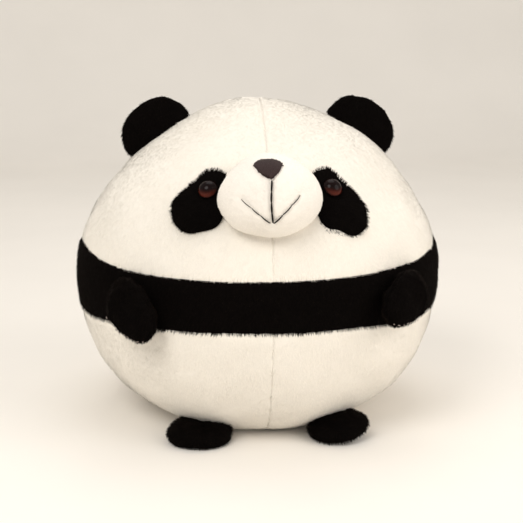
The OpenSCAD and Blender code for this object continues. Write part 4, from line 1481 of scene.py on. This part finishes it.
class PANDA_OT_arms(bpy.types.Operator):
    """Sew the two arms on the band"""

    bl_idname = "panda.arms"
    bl_label = "Arms"

    def execute(self, context):
        ball, finishes = toy()
        limbs, pile = context.scene.panda_limbs, context.scene.panda_pile
        points, faces, reach, way = cushion()
        spread = reach ** (2 / 2.4)
        length_half = (limbs.arm_length + limbs.arm_root_r * 0.55) / 2
        along = length_half * way[:, 0] * spread
        part = np.clip(0.5 + along / (2 * length_half), 0, 1)
        width = mix(limbs.arm_root_r, limbs.arm_tip_r + 1.5 * MM, smooth(part))
        local = np.stack([
            along + limbs.arm_length - length_half,
            width * way[:, 1] * spread,
            limbs.arm_half_t * 0.93 * np.sign(points[:, 2]) * np.abs(points[:, 2]) ** 0.85,
        ], 1)
        held = (np.abs(points[:, 2]) < SEAM_REACH) | (local[:, 0] < 0)
        local = inflate(local, faces, held, 3.0, 1.6 * MM)
        local, faces = finer(local, faces)
        shift = 3.4 * MM * smooth(local[:, 1] / (9 * MM))
        seam = 0.9 * MM * dent(local[:, 2] - shift, 1.0 * MM)
        on_seam = (np.abs(local[:, 2] - shift) < 0.5 * MM) & (local[:, 1] > 2 * MM) & (local[:, 0] > 8 * MM)
        stitch_line = local[on_seam][np.argsort(local[on_seam][:, 0] - local[on_seam][:, 1])]
        root_sink = 7.5 * MM
        rooted = smooth((6 * MM - local[:, 0]) / (16 * MM))
        local = local - rooted[:, None] * [0, 0, root_sink]
        for name, side in SIDES.items():
            at = np.array(joint_at[f"arm_{name}_lift"]) * [side, 1, 1]
            droop = limbs.left_droop if side < 0 else limbs.right_droop
            lat = ball.lat_at(ball.widest + 1 * MM)
            out = ball.normal(limbs.arm_az, lat)
            to_front = unit(np.cross(out, [0.0, 0.0, 1.0]))
            upwards = np.cross(to_front, out)
            along_way = math.cos(droop) * to_front - math.sin(droop) * upwards
            across = np.cross(out, along_way)
            rolled = math.cos(limbs.arm_roll) * across + math.sin(limbs.arm_roll) * out
            lifted = np.cross(along_way, rolled)
            place = frame_of(along_way, rolled, lifted, at, side)
            start = Vector((at - along_way * 6 * MM) * [side, 1, 1])
            end = Vector((at + along_way * 6 * MM) * [side, 1, 1])
            self.stitches(name, stitch_line, np.array(place), finishes, start, end)
            nodes = [f"arm_upper_{name}", f"arm_under_{name}"]
            dress_limb(f"arm_{name}", nodes, local, faces, place, finishes, pile, seam,
                       221 + side, keep=lambda roots: ball.depth_inside(roots) < 1 * MM)
        return {"FINISHED"}

    def stitches(self, name, line, place, finishes, start, end):
        """The short stitches that show in the seam along the arm's lower edge, whose light colour is a
        painted highlight along the seam's ridge.
        """
        along = np.linspace(0, 1, 23)
        order = np.linspace(0, 1, len(line))
        path = np.stack([np.interp(along, order, line[:, k]) for k in range(3)], 1)
        path = path @ place[:3, :3].T + place[:3, 3]
        out = unit(place[:3, :3] @ np.array([0.0, 0.6, 0.8]))
        parts = []
        for first, last in zip(path[:-1:2], path[1::2]):
            steps = np.linspace(0.1, 0.75, 6)[:, None]
            parts.append(tube(mix(first, last, steps) + out * 1.3 * MM, 0.24 * MM, 6))
        piece = make_piece(f"arm_{name}_stitches", *joined(parts), finishes.arm_thread, None)
        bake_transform(piece)


class PANDA_OT_feet(bpy.types.Operator):
    """Sew the two feet under the front of the belly"""

    bl_idname = "panda.feet"
    bl_label = "Feet"

    def execute(self, context):
        ball, finishes = toy()
        limbs, pile = context.scene.panda_limbs, context.scene.panda_pile
        points, faces, reach, way = cushion()
        rise = limbs.foot_height - limbs.foot_seam
        for name, side in SIDES.items():
            spread = reach ** (2 / FOOT_OUTLINE[name])
            local = np.stack([
                (limbs.foot_half_w - FOOT_SLIMMER[name]) * way[:, 0] * spread,
                limbs.foot_length / 2 * way[:, 1] * spread,
                np.where(points[:, 2] > 0, rise * np.abs(points[:, 2]) ** FOOT_TOP[name],
                         -(limbs.foot_seam - 0.4 * MM) * np.abs(points[:, 2]) ** 0.35),
            ], 1)
            low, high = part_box(f"foot_sole_{name}")
            along_y = (low.y + high.y) / 2 - FOOT_FORWARD
            middle = np.array([abs(low.x + high.x) / 2 + FOOT_ASIDE[name], along_y, limbs.foot_seam])
            world = local + middle
            roof = ball.underside(world) + 1.2 * MM - middle[2]
            squeezed = local.copy()
            squeezed[:, 2] = np.minimum(local[:, 2], np.maximum(roof, 0.6 * MM))
            pressed = squeezed[:, 2] < local[:, 2] - 0.1 * MM
            held = (np.abs(points[:, 2]) < SEAM_REACH) | pressed | (points[:, 2] < 0)
            blown = inflate(squeezed, faces, held, 3.0, 1.4 * MM)
            shape, shape_faces = finer(blown, faces)
            lobe_x, depth = FOOT_CREASE[name]
            crease = depth * dent(shape[:, 0] - lobe_x - 0.15 * shape[:, 2], 2.4 * MM) * (shape[:, 2] > 0)
            seam = 0.6 * MM * dent(shape[:, 2], 0.9 * MM)
            turn = limbs.foot_turn if side > 0 else 0
            roll = limbs.foot_roll if side > 0 else 0
            shape = shape + [0, 0, math.sin(roll) * limbs.foot_half_w]
            level = math.cos(roll)
            across = np.array([math.cos(turn) * level, math.sin(turn) * level, math.sin(roll)])
            back = np.array([-math.sin(turn), math.cos(turn), 0])
            place = frame_of(across, back, np.cross(across, back), middle, side)
            nodes = [f"foot_upper_{name}", f"foot_sole_{name}"]
            dress_limb(f"foot_{name}", nodes, shape, shape_faces, place, finishes, pile, seam,
                       241 + side, extra=-crease,
                       keep=lambda roots: (roots[:, 2] > 2.4 * MM) & (ball.depth_inside(roots) < 1 * MM))
        return {"FINISHED"}


# ---- Closing seam ----


class PANDA_OT_closing_seam(bpy.types.Operator):
    """Close the back with a row of ladder stitches"""

    bl_idname = "panda.closing_seam"
    bl_label = "Closing seam"

    def execute(self, context):
        ball, finishes = toy()
        low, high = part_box("closing_seam")
        rng = np.random.default_rng(91)
        parts = []
        for height in np.linspace(low.z + 0.5 * MM, high.z - 0.5 * MM, 9):
            steps = np.linspace(-1, 1, 15)
            reach = 2.4 * MM * steps
            lat = ball.lat_at(height + 0.3 * MM * rng.normal() * steps)
            az = HALF_TURN + reach / (ball.half_w * ball.profile(lat)[0])
            arch = np.sqrt(np.clip(1 - steps**4, 0, 1))
            path = ball.point(az, lat, 0.8 * MM * arch - 1.0 * MM * (1 - arch))
            parts.append(tube(path, 0.42 * MM, 8, 0.5))
        piece = make_piece("closing_ladder_stitches", *joined(parts), finishes.sewing, "body")
        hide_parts("closing_seam")
        return {"FINISHED"}


# ---- Stage ----


class PANDA_OT_stage(bpy.types.Operator):
    """Set the floor, the lights and the camera"""

    bl_idname = "panda.stage"
    bl_label = "Floor, lights and camera"

    def execute(self, context):
        scene = context.scene
        stage, colours = scene.panda_stage, scene.panda_colours
        turn, rise = stage.view_turn, stage.view_rise
        right = Vector((math.cos(turn), math.sin(turn), 0))
        back = Vector((math.sin(turn) * math.cos(rise), -math.cos(turn) * math.cos(rise), math.sin(rise)))
        target = right * stage.view_aside + Vector((0, 0, stage.view_height))
        camera_data = bpy.data.cameras.new("camera")
        camera_data.lens = stage.lens_mm
        camera_data.sensor_width = 36
        camera_data.clip_start = 0.01
        camera = bpy.data.objects.new("camera", camera_data)
        camera.location = target + back * stage.view_distance
        camera.rotation_euler = back.to_track_quat("Z", "Y").to_euler()
        scene.collection.objects.link(camera)
        scene.camera = camera
        self.floor(colours.floor)
        self.light("key_light", (-0.55, -0.75, 0.95), 0.7, stage.key_power, (1.0, 0.975, 0.94))
        self.light("fill_light", (0.85, -0.55, 0.55), 0.9, stage.fill_power, (1.0, 0.96, 0.92))
        self.light("top_light", (0.05, 0.25, 1.1), 0.8, stage.key_power * 0.42, (1.0, 0.98, 0.96))
        world = bpy.data.worlds.new("studio")
        world.use_nodes = True
        sky = world.node_tree.nodes["Background"]
        sky.inputs["Color"].default_value = (1.0, 0.975, 0.94, 1)
        sky.inputs["Strength"].default_value = stage.sky
        scene.world = world
        scene.view_settings.view_transform = "Standard"
        return {"FINISHED"}

    def floor(self, tone):
        """A wide floor that bends up into a backdrop."""
        half, rear, bend, top = 3.0, 1.6, 0.5, 2.2
        front = [(-2.5, 0.0), (rear - bend, 0.0)]
        curve = [(rear - bend + bend * math.sin(a), bend - bend * math.cos(a))
                 for a in np.linspace(0, QUARTER, 13)[1:]]
        outline = front + curve + [(rear, top)]
        points = np.array([(x, y, z) for y, z in outline for x in (-half, half)])
        finish = floor_finish("floor_finish", tone)
        piece = make_piece("floor", points, grid_faces(len(outline), 2), finish, None)

    def light(self, name, place, size, power, tone):
        data = bpy.data.lights.new(name, "AREA")
        data.shape = "DISK"
        data.size = size
        data.energy = power
        data.color = tone
        lamp = bpy.data.objects.new(name, data)
        lamp.location = place
        lamp.rotation_euler = (Vector(place) - Vector((0, 0, 0.1))).to_track_quat("Z", "Y").to_euler()
        bpy.context.scene.collection.objects.link(lamp)


class PANDA_PT_panel(bpy.types.Panel):
    """The sidebar's list of what can be made"""

    bl_label = "Round Plush Panda"
    bl_idname = "PANDA_PT_panel"
    bl_space_type = "VIEW_3D"
    bl_region_type = "UI"
    bl_category = "Panda"

    def draw(self, context):
        for operator in OPERATORS:
            self.layout.operator(operator.bl_idname)
        for group in GROUPS:
            column = self.layout.column(heading=group)
            settings = getattr(context.scene, group)
            for name in settings.__annotations__:
                column.prop(settings, name)


GROUPS = {
    "panda_body": PandaBody,
    "panda_pile": PandaPile,
    "panda_face": PandaFace,
    "panda_limbs": PandaLimbs,
    "panda_colours": PandaColours,
    "panda_stage": PandaStage,
}
OPERATORS = (
    PANDA_OT_stage,
    PANDA_OT_head,
    PANDA_OT_band,
    PANDA_OT_belly,
    PANDA_OT_seat,
    PANDA_OT_filling,
    PANDA_OT_muzzle,
    PANDA_OT_nose,
    PANDA_OT_mouth,
    PANDA_OT_patches,
    PANDA_OT_eyes,
    PANDA_OT_ears,
    PANDA_OT_arms,
    PANDA_OT_feet,
    PANDA_OT_closing_seam,
)


def register():
    for cls in (*GROUPS.values(), *OPERATORS, PANDA_PT_panel):
        bpy.utils.register_class(cls)
    for name, group in GROUPS.items():
        setattr(bpy.types.Scene, name, bpy.props.PointerProperty(type=group))


def unregister():
    for name in GROUPS:
        delattr(bpy.types.Scene, name)
    for cls in reversed((*GROUPS.values(), *OPERATORS, PANDA_PT_panel)):
        bpy.utils.unregister_class(cls)


def main():
    register()
    for operator in OPERATORS:
        group, name = operator.bl_idname.split(".")
        getattr(getattr(bpy.ops, group), name)()


if __name__ == "__main__":
    main()
